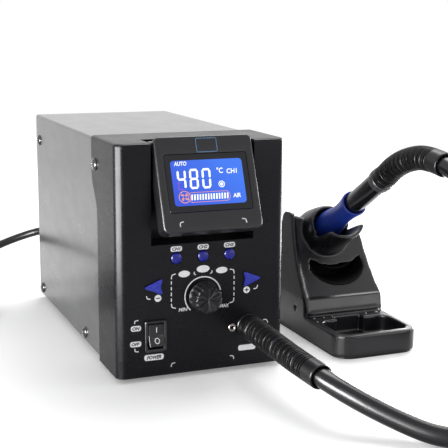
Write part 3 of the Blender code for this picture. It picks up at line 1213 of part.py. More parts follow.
def build():
    clear_scene()
    looks = finishes()
    build_case()
    build_feet()
    build_screws()
    build_panel()
    build_display()
    build_buttons()
    build_encoder()
    build_switch()
    build_fittings()
    build_inside()
    build_rear_fittings()
    build_stand()
    build_handle()
    build_cords(build_sleeves())
    build_plug()
    dress(looks)
    centre_on_base()


build()
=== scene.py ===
"""The looks of a hot air rework station: control box, handle in its stand, air hose and mains lead.

Lengths are in metres. Places on the station are written from the middle of its controls: +X to the right
along the front panel, +Y into the depth from the panel's face, +Z up from the table.
"""
import logging
import math
from dataclasses import dataclass
from enum import Enum
from functools import cached_property

import bmesh
import bpy
import numpy as np
from mathutils import Matrix, Vector


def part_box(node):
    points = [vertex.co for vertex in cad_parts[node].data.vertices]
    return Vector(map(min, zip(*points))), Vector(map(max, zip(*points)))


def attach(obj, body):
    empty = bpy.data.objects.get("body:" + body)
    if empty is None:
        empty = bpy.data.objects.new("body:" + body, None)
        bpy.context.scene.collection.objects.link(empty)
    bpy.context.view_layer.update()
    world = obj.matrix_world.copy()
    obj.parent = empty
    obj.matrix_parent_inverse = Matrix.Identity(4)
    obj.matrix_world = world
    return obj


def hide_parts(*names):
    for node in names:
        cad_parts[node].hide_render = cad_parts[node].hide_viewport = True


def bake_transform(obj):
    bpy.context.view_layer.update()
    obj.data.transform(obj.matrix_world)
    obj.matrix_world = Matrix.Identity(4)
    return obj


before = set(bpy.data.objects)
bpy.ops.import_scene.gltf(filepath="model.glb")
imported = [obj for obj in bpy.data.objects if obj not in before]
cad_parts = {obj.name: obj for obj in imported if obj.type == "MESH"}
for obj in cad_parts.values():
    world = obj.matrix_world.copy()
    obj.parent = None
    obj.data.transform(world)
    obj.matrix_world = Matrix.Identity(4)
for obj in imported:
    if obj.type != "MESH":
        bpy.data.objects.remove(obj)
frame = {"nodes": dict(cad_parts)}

LOG = logging.getLogger("rework_station")
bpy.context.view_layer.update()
Array = np.ndarray
Point = tuple[float, float, float]
Colour = tuple[float, float, float]


def panel_origin() -> Array:
    """Where the middle of the controls lies on the table, read from the front panel's solid."""
    low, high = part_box("front_panel")
    return np.array(((low.x + high.x) / 2, low.y, 0.0))


ORIGIN = panel_origin()
HANDLE_AT: Point = (0.130, 0.0355, 0.1017)
HANDLE_TILT = 31.5
INK_BACK = 0.00002
INK_FRONT = 0.00006
INK_EDGE = 0.00001
INK_LINE = 0.0006


class Body(Enum):
    """The moving bodies that pieces ride on."""
    STATION = "station"
    DISPLAY = "display"
    KNOB = "knob"
    BUTTON_1 = "button_1"
    BUTTON_2 = "button_2"
    BUTTON_3 = "button_3"
    ARROW_LEFT = "arrow_left"
    ARROW_RIGHT = "arrow_right"
    ROCKER = "rocker"
    HANDLE = "handle"


class Facing(Enum):
    """Directions in which a flat or turned piece points, each with its own sideways axis."""
    UP = ((1, 0, 0), (0, 1, 0), (0, 0, 1))
    FRONT = ((1, 0, 0), (0, 0, 1), (0, -1, 0))
    LEFT = ((0, -1, 0), (0, 0, 1), (-1, 0, 0))
    RIGHT = ((0, 1, 0), (0, 0, 1), (1, 0, 0))


def seat(at: Point, facing: Facing = Facing.UP, lean: float = 0.0) -> Array:
    """The place of a piece: its own axes and origin in the shared frame.

    Args:
        at: Origin, in station places.
        facing: Direction of the piece's own height.
        lean: Turn about the sideways axis, in radians, that tips a front facing piece back.

    Returns:
        A 4 by 4 matrix from the piece's own lengths to the shared frame.
    """
    matrix = np.eye(4)
    x, y, z = (np.array(axis, float) for axis in facing.value)
    c, s = math.cos(lean), math.sin(lean)
    matrix[:3, 0] = x
    matrix[:3, 1] = c * y - s * z
    matrix[:3, 2] = s * y + c * z
    matrix[:3, 3] = ORIGIN + np.array(at)
    return matrix


def moved(points: Array, matrix: Array) -> Array:
    """The points carried by a 4 by 4 matrix."""
    return points @ matrix[:3, :3].T + matrix[:3, 3]


# Curves in a plane

def rounded_loop(half_w: float, half_h: float, radius: float, steps: int = 6,
                 at: tuple[float, float] = (0.0, 0.0)) -> Array:
    """A rounded rectangle: four quarter circles whose centres stand in from the corners by the radius.

    Args:
        half_w: Half the width.
        half_h: Half the height.
        radius: Radius of the corners.
        steps: Steps in each quarter circle.
        at: Middle of the rectangle.

    Returns:
        Points of shape (4 * (steps + 1), 2), anticlockwise.
    """
    turn = np.linspace(0.0, math.pi / 2, steps + 1)[None, :] + (np.arange(4) * math.pi / 2)[:, None]
    sx = np.array((1, -1, -1, 1))[:, None]
    sy = np.array((1, 1, -1, -1))[:, None]
    x = at[0] + sx * (half_w - radius) + radius * np.cos(turn)
    y = at[1] + sy * (half_h - radius) + radius * np.sin(turn)
    return np.stack((x, y), -1).reshape(-1, 2)


def ellipse(half_w: float, half_h: float, count: int = 32, at: tuple[float, float] = (0.0, 0.0)) -> Array:
    """An ellipse: x is the half width times the cosine of the turn, y the half height times its sine."""
    turn = np.linspace(0.0, math.tau, count, endpoint=False)
    return np.stack((at[0] + half_w * np.cos(turn), at[1] + half_h * np.sin(turn)), 1)


def arc_line(radius: float, start: float, end: float, count: int = 24,
             at: tuple[float, float] = (0.0, 0.0)) -> Array:
    """Part of a circle from one angle to another, both in degrees."""
    turn = np.radians(np.linspace(start, end, count))
    return np.stack((at[0] + radius * np.cos(turn), at[1] + radius * np.sin(turn)), 1)


def pulled(start: Array, corner: Array, end: Array, steps: int) -> Array:
    """Quadratic curves in a row: each runs from its start to its end and is pulled by its corner."""
    t = np.linspace(0.0, 1.0, steps + 1)[None, :, None]
    curve = (1 - t) ** 2 * start[:, None] + 2 * t * (1 - t) * corner[:, None] + t ** 2 * end[:, None]
    return curve.reshape(-1, corner.shape[1])


def corner_rounded(outline: Array, radius: float, steps: int = 4) -> Array:
    """An outline whose corners are cut by curves: each corner point pulls a quadratic curve whose ends lie
    on its two sides, the given radius away from it.

    Args:
        outline: Corner points of shape (count, 2).
        radius: Distance from a corner to the ends of its curve.
        steps: Steps in each curve.

    Returns:
        Points of shape (count * (steps + 1), 2).
    """
    back = np.roll(outline, 1, 0) - outline
    ahead = np.roll(outline, -1, 0) - outline
    a = outline + back / np.linalg.norm(back, axis=1, keepdims=True) * radius
    b = outline + ahead / np.linalg.norm(ahead, axis=1, keepdims=True) * radius
    return pulled(a, outline, b, steps)


def inset(outline: Array, distance: float) -> Array:
    """A closed anticlockwise outline moved inwards: each point moves along the mean of the normals of its
    two sides, by the distance over the cosine of half their angle."""
    ahead = np.roll(outline, -1, 0) - outline
    ahead /= np.maximum(np.linalg.norm(ahead, axis=1, keepdims=True), 1e-12)
    normal = np.stack((-ahead[:, 1], ahead[:, 0]), 1)
    mean = normal + np.roll(normal, 1, 0)
    mean /= np.maximum(np.linalg.norm(mean, axis=1, keepdims=True), 1e-9)
    share = np.maximum((mean * normal).sum(1, keepdims=True), 0.5)
    return outline + mean * distance / share


def eased(share: Array) -> Array:
    """A share from 0 to 1 made to start and end gently: three times its square less twice its cube."""
    return share * share * (3 - 2 * share)


def lifted(outline: Array, height: float) -> Array:
    """The outline as points in space at one height of the piece's own."""
    return np.concatenate((outline, np.full((len(outline), 1), height)), 1)


# Curves in space

def smooth_line(points: Array, spacing: float, soften: float = 0.0) -> Array:
    """A smooth open line through or close by the given points.

    A centripetal Catmull-Rom curve runs through the points: each span is a cubic whose slopes follow the
    points on either side. The curve is then cut into even steps, and where soften is given each point
    becomes the weighted mean of its neighbours with bell-shaped weights of that width.

    Args:
        points: Points of shape (count, 3).
        spacing: Distance between the points of the result.
        soften: Width of the bell, in metres.

    Returns:
        Points of shape (many, 3).
    """
    p = np.concatenate(([2 * points[0] - points[1]], points, [2 * points[-1] - points[-2]]))
    knot = np.concatenate(([0.0], np.cumsum(np.linalg.norm(np.diff(p, axis=0), axis=1) ** 0.5)))
    u = np.linspace(0.0, 1.0, 24, endpoint=False)[None, :, None]
    k0, k1, k2, k3 = (knot[i:len(knot) - 3 + i][:, None, None] for i in range(4))
    p0, p1, p2, p3 = (p[i:len(p) - 3 + i][:, None, :] for i in range(4))
    t = k1 + (k2 - k1) * u
    a1 = (k1 - t) / (k1 - k0) * p0 + (t - k0) / (k1 - k0) * p1
    a2 = (k2 - t) / (k2 - k1) * p1 + (t - k1) / (k2 - k1) * p2
    a3 = (k3 - t) / (k3 - k2) * p2 + (t - k2) / (k3 - k2) * p3
    b1 = (k2 - t) / (k2 - k0) * a1 + (t - k0) / (k2 - k0) * a2
    b2 = (k3 - t) / (k3 - k1) * a2 + (t - k1) / (k3 - k1) * a3
    fine = ((k2 - t) / (k2 - k1) * b1 + (t - k1) / (k2 - k1) * b2).reshape(-1, 3)
    line = evenly(np.concatenate((fine, points[-1:])), spacing)
    if soften <= 0.0:
        return line
    reach = int(3 * soften / spacing)
    weight = np.exp(-0.5 * (np.arange(-reach, reach + 1) * spacing / soften) ** 2)
    before = 2 * line[:1] - line[reach:0:-1]
    after = 2 * line[-1:] - line[-2:-reach - 2:-1]
    padded = np.concatenate((before, line, after))
    soft = np.stack([np.convolve(padded[:, i], weight / weight.sum(), "valid") for i in range(3)], 1)
    return evenly(soft, spacing)


def evenly(line: Array, spacing: float) -> Array:
    """The line cut into even steps of about the given spacing."""
    run = np.concatenate(([0.0], np.cumsum(np.linalg.norm(np.diff(line, axis=0), axis=1))))
    marks = np.linspace(0.0, run[-1], max(int(round(run[-1] / spacing)), 2) + 1)
    return np.stack([np.interp(marks, run, line[:, i]) for i in range(3)], 1)


def line_length(line: Array) -> float:
    """The length of a line of points."""
    return float(np.linalg.norm(np.diff(line, axis=0), axis=1).sum())


def tube(line: Array, radius: Array, sides: int, rows: Array | None = None) -> Array:
    """A skin round a line: each ring is a circle square to the line, whose starting side is carried along
    without twisting, as each step takes away its part that lies along the line.

    Args:
        line: Points of shape (rows, 3).
        radius: Radius at each row, of shape (rows,) or (rows, sides).
        sides: Points round each ring.
        rows: The line's points that the rows use, where the skin turns back on itself.

    Returns:
        A grid of shape (rows, sides, 3).
    """
    along = np.gradient(line, axis=0)
    along /= np.linalg.norm(along, axis=1, keepdims=True)
    side = np.empty_like(along)
    start = np.array((0.0, 0.0, 1.0)) if abs(along[0, 2]) < 0.9 else np.array((1.0, 0.0, 0.0))
    last = start
    for i, direction in enumerate(along):
        last = last - direction * (last @ direction)
        last = last / np.linalg.norm(last)
        side[i] = last
    across = np.cross(along, side)
    turn = np.linspace(0.0, math.tau, sides, endpoint=False)
    out = side[:, None] * np.cos(turn)[None, :, None] + across[:, None] * np.sin(turn)[None, :, None]
    rows = np.arange(len(line)) if rows is None else rows
    spread = np.broadcast_to(radius[:, None] if radius.ndim == 1 else radius, (len(rows), sides))
    return line[rows][:, None] + out[rows] * spread[..., None]


def turned(profile: Array, sides: int) -> Array:
    """A profile of radius and height carried round its own axis: x and y are the radius times the cosine
    and the sine of the turn, z is the height."""
    turn = np.linspace(0.0, math.tau, sides, endpoint=False)
    ring = np.stack((np.cos(turn), np.sin(turn)), 1)
    flat = profile[:, 0, None, None] * ring[None]
    high = np.broadcast_to(profile[:, 1, None, None], flat.shape[:2] + (1,))
    return np.concatenate((flat, high), 2)


def bevelled(profile: Array, radius: float, steps: int = 3) -> Array:
    """An open profile whose inner corners are rounded as in corner_rounded, with both ends kept."""
    back = profile[:-2] - profile[1:-1]
    ahead = profile[2:] - profile[1:-1]
    long_back = np.linalg.norm(back, axis=1, keepdims=True)
    long_ahead = np.linalg.norm(ahead, axis=1, keepdims=True)
    a = profile[1:-1] + back / long_back * np.minimum(radius, 0.45 * long_back)
    b = profile[1:-1] + ahead / long_ahead * np.minimum(radius, 0.45 * long_ahead)
    return np.concatenate((profile[:1], pulled(a, profile[1:-1], b, steps), profile[-1:]))


# Finishes

class Value:
    """One output in a material's tree; arithmetic on it adds Math nodes."""

    def __init__(self, mixer: "Mixer", socket: bpy.types.NodeSocket) -> None:
        """Keeps the tree and the socket."""
        self.mixer = mixer
        self.socket = socket

    def math(self, operation: str, *others: "Value | float", first: bool = True) -> "Value":
        """A Math node on this value.

        Args:
            operation: The node's operation.
            others: Its further operands.
            first: Whether this value is the first operand.

        Returns:
            The node's result.
        """
        operands = (self, *others) if first else (*others, self)
        return self.mixer.node("ShaderNodeMath", {"operation": operation}, dict(enumerate(operands)))

    def __add__(self, other: "Value | float") -> "Value":
        """The sum."""
        return self.math("ADD", other)

    __radd__ = __add__

    def __sub__(self, other: "Value | float") -> "Value":
        """The difference."""
        return self.math("SUBTRACT", other)

    def __rsub__(self, other: float) -> "Value":
        """The difference from a number."""
        return self.math("SUBTRACT", other, first=False)

    def __mul__(self, other: "Value | float") -> "Value":
        """The product."""
        return self.math("MULTIPLY", other)

    __rmul__ = __mul__

    def __truediv__(self, other: "Value | float") -> "Value":
        """The quotient."""
        return self.math("DIVIDE", other)

    def __rtruediv__(self, other: float) -> "Value":
        """The quotient of a number."""
        return self.math("DIVIDE", other, first=False)

    def __pow__(self, other: float) -> "Value":
        """The power."""
        return self.math("POWER", other)

    def smooth(self, low: float, high: float, start: float = 0.0, end: float = 1.0) -> "Value":
        """Goes smoothly from start to end while this value goes from low to high."""
        return self.mixer.node("ShaderNodeMapRange", {"interpolation_type": "SMOOTHSTEP"},
                               {0: self, 1: low, 2: high, 3: start, 4: end})


class Mixer:
    """A material or a world being mixed: its tree, its shader and one way to add a node."""

    def __init__(self, owner: bpy.types.Material | bpy.types.World, shader: str = "Principled BSDF") -> None:
        """Starts from the owner's own shader."""
        owner.use_nodes = True
        self.owner = owner
        self.tree = owner.node_tree
        self.shader = self.tree.nodes[shader]

    @cached_property
    def place(self) -> Value:
        """Object coordinates."""
        return self.node("ShaderNodeTexCoord", {}, {}, "Object")

    def node(self, kind: str, settings: dict, inputs: dict, output: str | int = 0) -> Value:
        """Adds a node.

        Args:
            kind: The node's type.
            settings: Its settings, set first.
            inputs: Values or links of its sockets, by name or number.
            output: The output to hand back.

        Returns:
            That output.
        """
        made = self.tree.nodes.new(kind)
        for key, value in settings.items():
            setattr(made, key, value)
        for key, value in inputs.items():
            self.feed(made.inputs[key], value)
        return Value(self, made.outputs[output])

    def feed(self, socket: bpy.types.NodeSocket, value: "Value | float | tuple") -> None:
        """Links a value to a socket, or writes a constant on it."""
        if isinstance(value, Value):
            self.tree.links.new(value.socket, socket)
        else:
            socket.default_value = value

    def set(self, **sockets: "Value | float | tuple") -> None:
        """Feeds the shader's sockets, named with _ for a space."""
        for key, value in sockets.items():
            self.feed(self.shader.inputs[key.replace("_", " ")], value)

    def noise(self, size: float, detail: float = 2.0, where: Value | None = None,
              roughness: float = 0.5) -> Value:
        """Noise whose blotches are about the given size in metres."""
        return self.node("ShaderNodeTexNoise", {}, {"Vector": where or self.place, "Scale": 1.0 / size,
                                                    "Detail": detail, "Roughness": roughness}, "Fac")

    def blend(self, factor: "Value | float", a: "Value | Colour", b: "Value | Colour") -> Value:
        """The colour that goes from a to b with the factor."""
        pair = [c if isinstance(c, Value) else (*c, 1.0) for c in (a, b)]
        return self.node("ShaderNodeMix", {"data_type": "RGBA"}, {0: factor, 6: pair[0], 7: pair[1]}, 2)

    def bump(self, height: Value, strength: float, distance: float) -> Value:
        """A bumped normal of the given height field."""
        return self.node("ShaderNodeBump", {}, {"Strength": strength, "Distance": distance,
                                                "Height": height}, "Normal")

    def rays(self) -> list[Value]:
        """Whether a ray comes from the camera, from a glossy surface or through a clear one."""
        return [self.node("ShaderNodeLightPath", {}, {}, f"Is {kind} Ray")
                for kind in ("Camera", "Glossy", "Transmission")]

    def stretched(self, scale: Point) -> Value:
        """Object coordinates stretched by the given scale."""
        return self.node("ShaderNodeMapping", {"vector_type": "POINT"}, {0: self.place, 3: scale})


@dataclass(frozen=True)
class Finish:
    """A moulded or painted skin: colour that wanders a little, fine grain and uneven gloss."""
    name: str
    slot: str
    colour: Colour
    roughness: float = 0.4
    metallic: float = 0.0
    coat: float = 0.0
    coat_roughness: float = 0.15
    specular: float = 0.5
    grain: float = 0.0005
    depth: float = 0.00002
    wander: float = 0.25
    uneven: float = 0.08
    dust: float = 0.0

    def colours(self, mixer: Mixer) -> Value:
        """The colour over the surface: two sizes of blotches, and pale dust where there is any."""
        share = mixer.noise(0.035, 3.0) * 0.7 + mixer.noise(0.004, 2.0) * 0.3
        low = tuple(c * (1.0 - self.wander) for c in self.colour)
        high = tuple(min(c * (1.0 + self.wander), 1.0) for c in self.colour)
        colour = mixer.blend(share, low, high)
        if self.dust <= 0.0:
            return colour
        specks = mixer.noise(0.0011, 4.0, roughness=0.7).smooth(0.66, 0.80) * self.dust
        return mixer.blend(specks, colour, (0.25, 0.245, 0.24))

    def gloss(self, mixer: Mixer) -> Value:
        """The roughness over the surface."""
        wipe = mixer.noise(0.018, 4.0, mixer.stretched((1.0, 0.6, 1.4)))
        return (wipe - 0.5) * (2.0 * self.uneven) + self.roughness

    def normals(self, mixer: Mixer) -> Value:
        """The grain of the surface."""
        return mixer.bump(mixer.noise(self.grain, 2.0), 0.6, self.depth)

    def material(self) -> bpy.types.Material:
        """The finished material, made once and then shared."""
        known = bpy.data.materials.get(self.name)
        if known is not None:
            return known
        mixer = Mixer(bpy.data.materials.new(self.name))
        self.mix(mixer)
        return mixer.owner

    def mix(self, mixer: Mixer) -> None:
        """Feeds the shader."""
        mixer.set(Base_Color=self.colours(mixer), Roughness=self.gloss(mixer), Metallic=self.metallic,
                  Coat_Weight=self.coat, Coat_Roughness=self.coat_roughness,
                  Specular_IOR_Level=self.specular, Normal=self.normals(mixer))


@dataclass(frozen=True)
class PowderCoat(Finish):
    """Painted sheet metal: an orange-peel skin of small soft dimples over the grain."""

    def normals(self, mixer: Mixer) -> Value:
        """Dimples a little under a millimetre wide on slower waves of the paint."""
        peel = mixer.noise(0.0009, 2.0) * 0.6 + mixer.noise(0.004, 1.0) * 0.4
        return mixer.bump(peel, 0.5, self.depth)


@dataclass(frozen=True)
class Metal(Finish):
    """Bare metal with fine lines left by turning or drawing."""

    def gloss(self, mixer: Mixer) -> Value:
        """Roughness in fine streaks."""
        lines = mixer.noise(0.002, 3.0, mixer.stretched((1.0, 18.0, 18.0)))
        return (lines - 0.5) * (3.0 * self.uneven) + self.roughness


@dataclass(frozen=True)
class Sheath(Finish):
    """The drawn skin of a hose or lead: faint lines along it, scuffs across it."""

    def gloss(self, mixer: Mixer) -> Value:
        """Roughness that goes round the sheath in lines and is scuffed in patches."""
        run = mixer.node("ShaderNodeTexCoord", {}, {}, "UV")
        around = mixer.node("ShaderNodeMapping", {}, {0: run, 3: (40.0, 3.0, 1.0)})
        lines = mixer.node("ShaderNodeTexNoise", {}, {"Vector": around, "Scale": 1.0, "Detail": 2.0}, "Fac")
        scuffs = mixer.noise(0.006, 4.0, roughness=0.65).smooth(0.55, 0.75)
        return (lines - 0.5) * self.uneven + scuffs * 0.12 + self.roughness


@dataclass(frozen=True)
class LitDisplay(Finish):
    """The display behind its dark window: a blue field with round corners that is brighter towards the
    right, read from the window's own millimetres."""
    half: tuple[float, float] = (24.1, 14.5)
    middle: tuple[float, float] = (0.0, -30.3)
    corner: float = 2.2

    def mix(self, mixer: Mixer) -> None:
        """Feeds the shader of the window."""
        uv = mixer.node("ShaderNodeTexCoord", {}, {}, "UV")
        split = "ShaderNodeSeparateXYZ"
        x = mixer.node(split, {}, {0: uv}, "X") - self.middle[0]
        y = mixer.node(split, {}, {0: uv}, "Y") - self.middle[1]
        far_x = (x.math("ABSOLUTE") - (self.half[0] - self.corner)).math("MAXIMUM", 0.0)
        far_y = (y.math("ABSOLUTE") - (self.half[1] - self.corner)).math("MAXIMUM", 0.0)
        far = (far_x * far_x + far_y * far_y) ** 0.5
        lit = far.smooth(self.corner - 0.15, self.corner + 0.15, 1.0, 0.0)
        slope = (x / (2.0 * self.half[0]) + y / (4.0 * self.half[1]) + 0.5).math("MINIMUM", 1.0)
        cloud = mixer.noise(0.009, 2.0)
        field_colour = mixer.blend(slope * 0.8 + cloud * 0.2, (0.028, 0.085, 0.72), (0.045, 0.205, 0.93))
        glow = mixer.blend(lit, (0.0, 0.0, 0.0), field_colour)
        dark = mixer.blend(mixer.noise(0.01, 2.0), (0.004, 0.004, 0.006), (0.008, 0.008, 0.011))
        mixer.set(Base_Color=dark, Emission_Color=glow, Emission_Strength=1.0,
                  Roughness=(mixer.noise(0.012, 3.0) - 0.5) * 0.04 + self.roughness,
                  Specular_IOR_Level=self.specular)


@dataclass(frozen=True)
class Ink(Finish):
    """Screen-printed ink: an even colour with a faint mesh grain."""
    glow: float = 0.0

    def mix(self, mixer: Mixer) -> None:
        """Feeds the shader of the print."""
        screen = mixer.noise(0.0004, 2.0)
        colour = mixer.blend(screen, tuple(0.86 * c for c in self.colour), self.colour)
        mixer.set(Base_Color=colour, Roughness=(screen - 0.5) * 0.1 + self.roughness,
                  Specular_IOR_Level=self.specular)
        if self.glow > 0.0:
            mixer.set(Emission_Color=colour, Emission_Strength=self.glow)


CASE_PAINT = PowderCoat("case_paint", "case_black", (0.034, 0.034, 0.036), 0.30, coat=0.62,
                        coat_roughness=0.16, specular=0.45, depth=0.000025, dust=0.12)
PANEL_MOULDING = Finish("panel_moulding", "panel_black", (0.0042, 0.0042, 0.0060), 0.28, specular=0.15,
                        grain=0.0004, depth=0.000012, dust=0.03)
DISPLAY_MOULDING = Finish("display_moulding", "bay_black", (0.0080, 0.0080, 0.0100), 0.32, specular=0.40,
                          depth=0.00001, dust=0.03)
LIT_WINDOW = LitDisplay("lit_window", "window_dark", (0.006, 0.006, 0.008), 0.10, specular=0.35)
LCD_GLASS = Finish("lcd_glass", "lcd_blue", (0.02, 0.06, 0.5), 0.25, wander=0.1)
BOARD_GREEN = Finish("board_green_mask", "board_green", (0.012, 0.12, 0.045), 0.35, coat=0.3)
BARE_STEEL = Metal("bare_steel", "steel", (0.55, 0.55, 0.56), 0.28, metallic=1.0, wander=0.06)
NICKEL_SOCKET = Metal("nickel_socket", "steel", (0.36, 0.33, 0.32), 0.27, metallic=1.0, wander=0.08)
SCREW_STEEL = Metal("screw_steel", "screw_black", (0.018, 0.018, 0.020), 0.14, coat=0.8, coat_roughness=0.05,
                    uneven=0.03)
KEY_BLUE = Finish("key_blue", "button_blue", (0.006, 0.010, 0.230), 0.24, specular=0.34, wander=0.12,
                  uneven=0.04)
ARROW_BLUE = Finish("arrow_blue", "button_blue", (0.016, 0.026, 0.36), 0.26, specular=0.35, wander=0.10,
                    uneven=0.04)
KNOB_MOULDING = Finish("knob_moulding", "knob_black", (0.006, 0.006, 0.008), 0.42, specular=0.18,
                       depth=0.00001, dust=0.04)
SWITCH_MOULDING = Finish("switch_moulding", "knob_black", (0.008, 0.008, 0.010), 0.24, specular=0.40,
                         dust=0.03)
SOFT_RUBBER = Finish("soft_rubber", "rubber_black", (0.0055, 0.0055, 0.0065), 0.32, specular=0.45,
                     grain=0.0003, depth=0.00001, dust=0.04)
STAND_MOULDING = Finish("stand_moulding", "stand_black", (0.0070, 0.0070, 0.0090), 0.30, specular=0.42,
                        grain=0.0005, depth=0.000014, dust=0.04)
# Painted shade: the near-black, almost glossless skin of the sheet in the stand's pocket, whose real surface
# is the stand's own moulding lying in shade.
PAINTED_POCKET_SHADE = Finish("painted_shade_matt", "stand_black", (0.0010, 0.0010, 0.0014), 0.70, specular=0.08)
SLEEVE_RUBBER = Finish("sleeve_rubber", "rubber_black", (0.0045, 0.0045, 0.0055), 0.36, specular=0.26,
                       grain=0.0003, depth=0.00001, dust=0.03)
STUD_MOULDING = Finish("stud_moulding", "stand_black", (0.05, 0.05, 0.055), 0.14, specular=0.8, uneven=0.02)
TUBE_MOULDING = Finish("tube_moulding", "stand_black", (0.006, 0.006, 0.008), 0.22, specular=0.36, dust=0.02)
CUFF_MOULDING = Finish("cuff_moulding", "stand_black", (0.045, 0.045, 0.048), 0.38)
COLLAR_RUBBER = Finish("collar_rubber", "collar_blue", (0.011, 0.038, 0.32), 0.40, wander=0.15,
                       specular=0.36, depth=0.00002, dust=0.12)
HOSE_SHEATH = Sheath("hose_sheath", "hose_black", (0.0060, 0.0060, 0.0080), 0.24, specular=0.34,
                     uneven=0.06, depth=0.000006)
LEAD_SHEATH = Sheath("lead_sheath", "hose_black", (0.0070, 0.0070, 0.0085), 0.32, specular=0.38,
                     uneven=0.06, depth=0.000008)
PLUG_MOULDING = Finish("plug_moulding", "hose_black", (0.013, 0.013, 0.015), 0.42, dust=0.08)
CORE_STEEL = Finish("laminated_core", "core_grey", (0.15, 0.15, 0.16), 0.5, metallic=0.5)
COIL_COPPER = Metal("enamelled_copper", "copper", (0.50, 0.20, 0.07), 0.3, metallic=0.9)
FIN_ALUMINIUM = Metal("drawn_aluminium", "aluminium", (0.62, 0.63, 0.65), 0.35, metallic=1.0)
HEATER_CERAMIC = Finish("heater_ceramic", "ceramic", (0.72, 0.69, 0.62), 0.7)
WHITE_INK = Ink("white_ink", "panel_black", (0.82, 0.82, 0.84), 0.45)
GREY_BLUE_INK = Ink("grey_blue_ink", "bay_black", (0.10, 0.22, 0.42), 0.45)
DARK_INK = Ink("dark_ink", "panel_black", (0.02, 0.02, 0.025), 0.45)
LIT_WHITE = Ink("lit_white", "lcd_blue", (0.80, 0.84, 0.90), 0.3, glow=0.62)
LIT_ORANGE = Ink("lit_orange", "lcd_blue", (0.62, 0.26, 0.20), 0.3, glow=0.5)
LIT_FAINT = Ink("lit_faint", "lcd_blue", (0.22, 0.06, 0.45), 0.3, glow=0.6)


# Meshes

def vertices_of(mesh: bpy.types.Mesh) -> Array:
    """The places of a mesh's vertices, of shape (count, 3)."""
    points = np.zeros(len(mesh.vertices) * 3)
    mesh.vertices.foreach_get("co", points)
    return points.reshape(-1, 3)


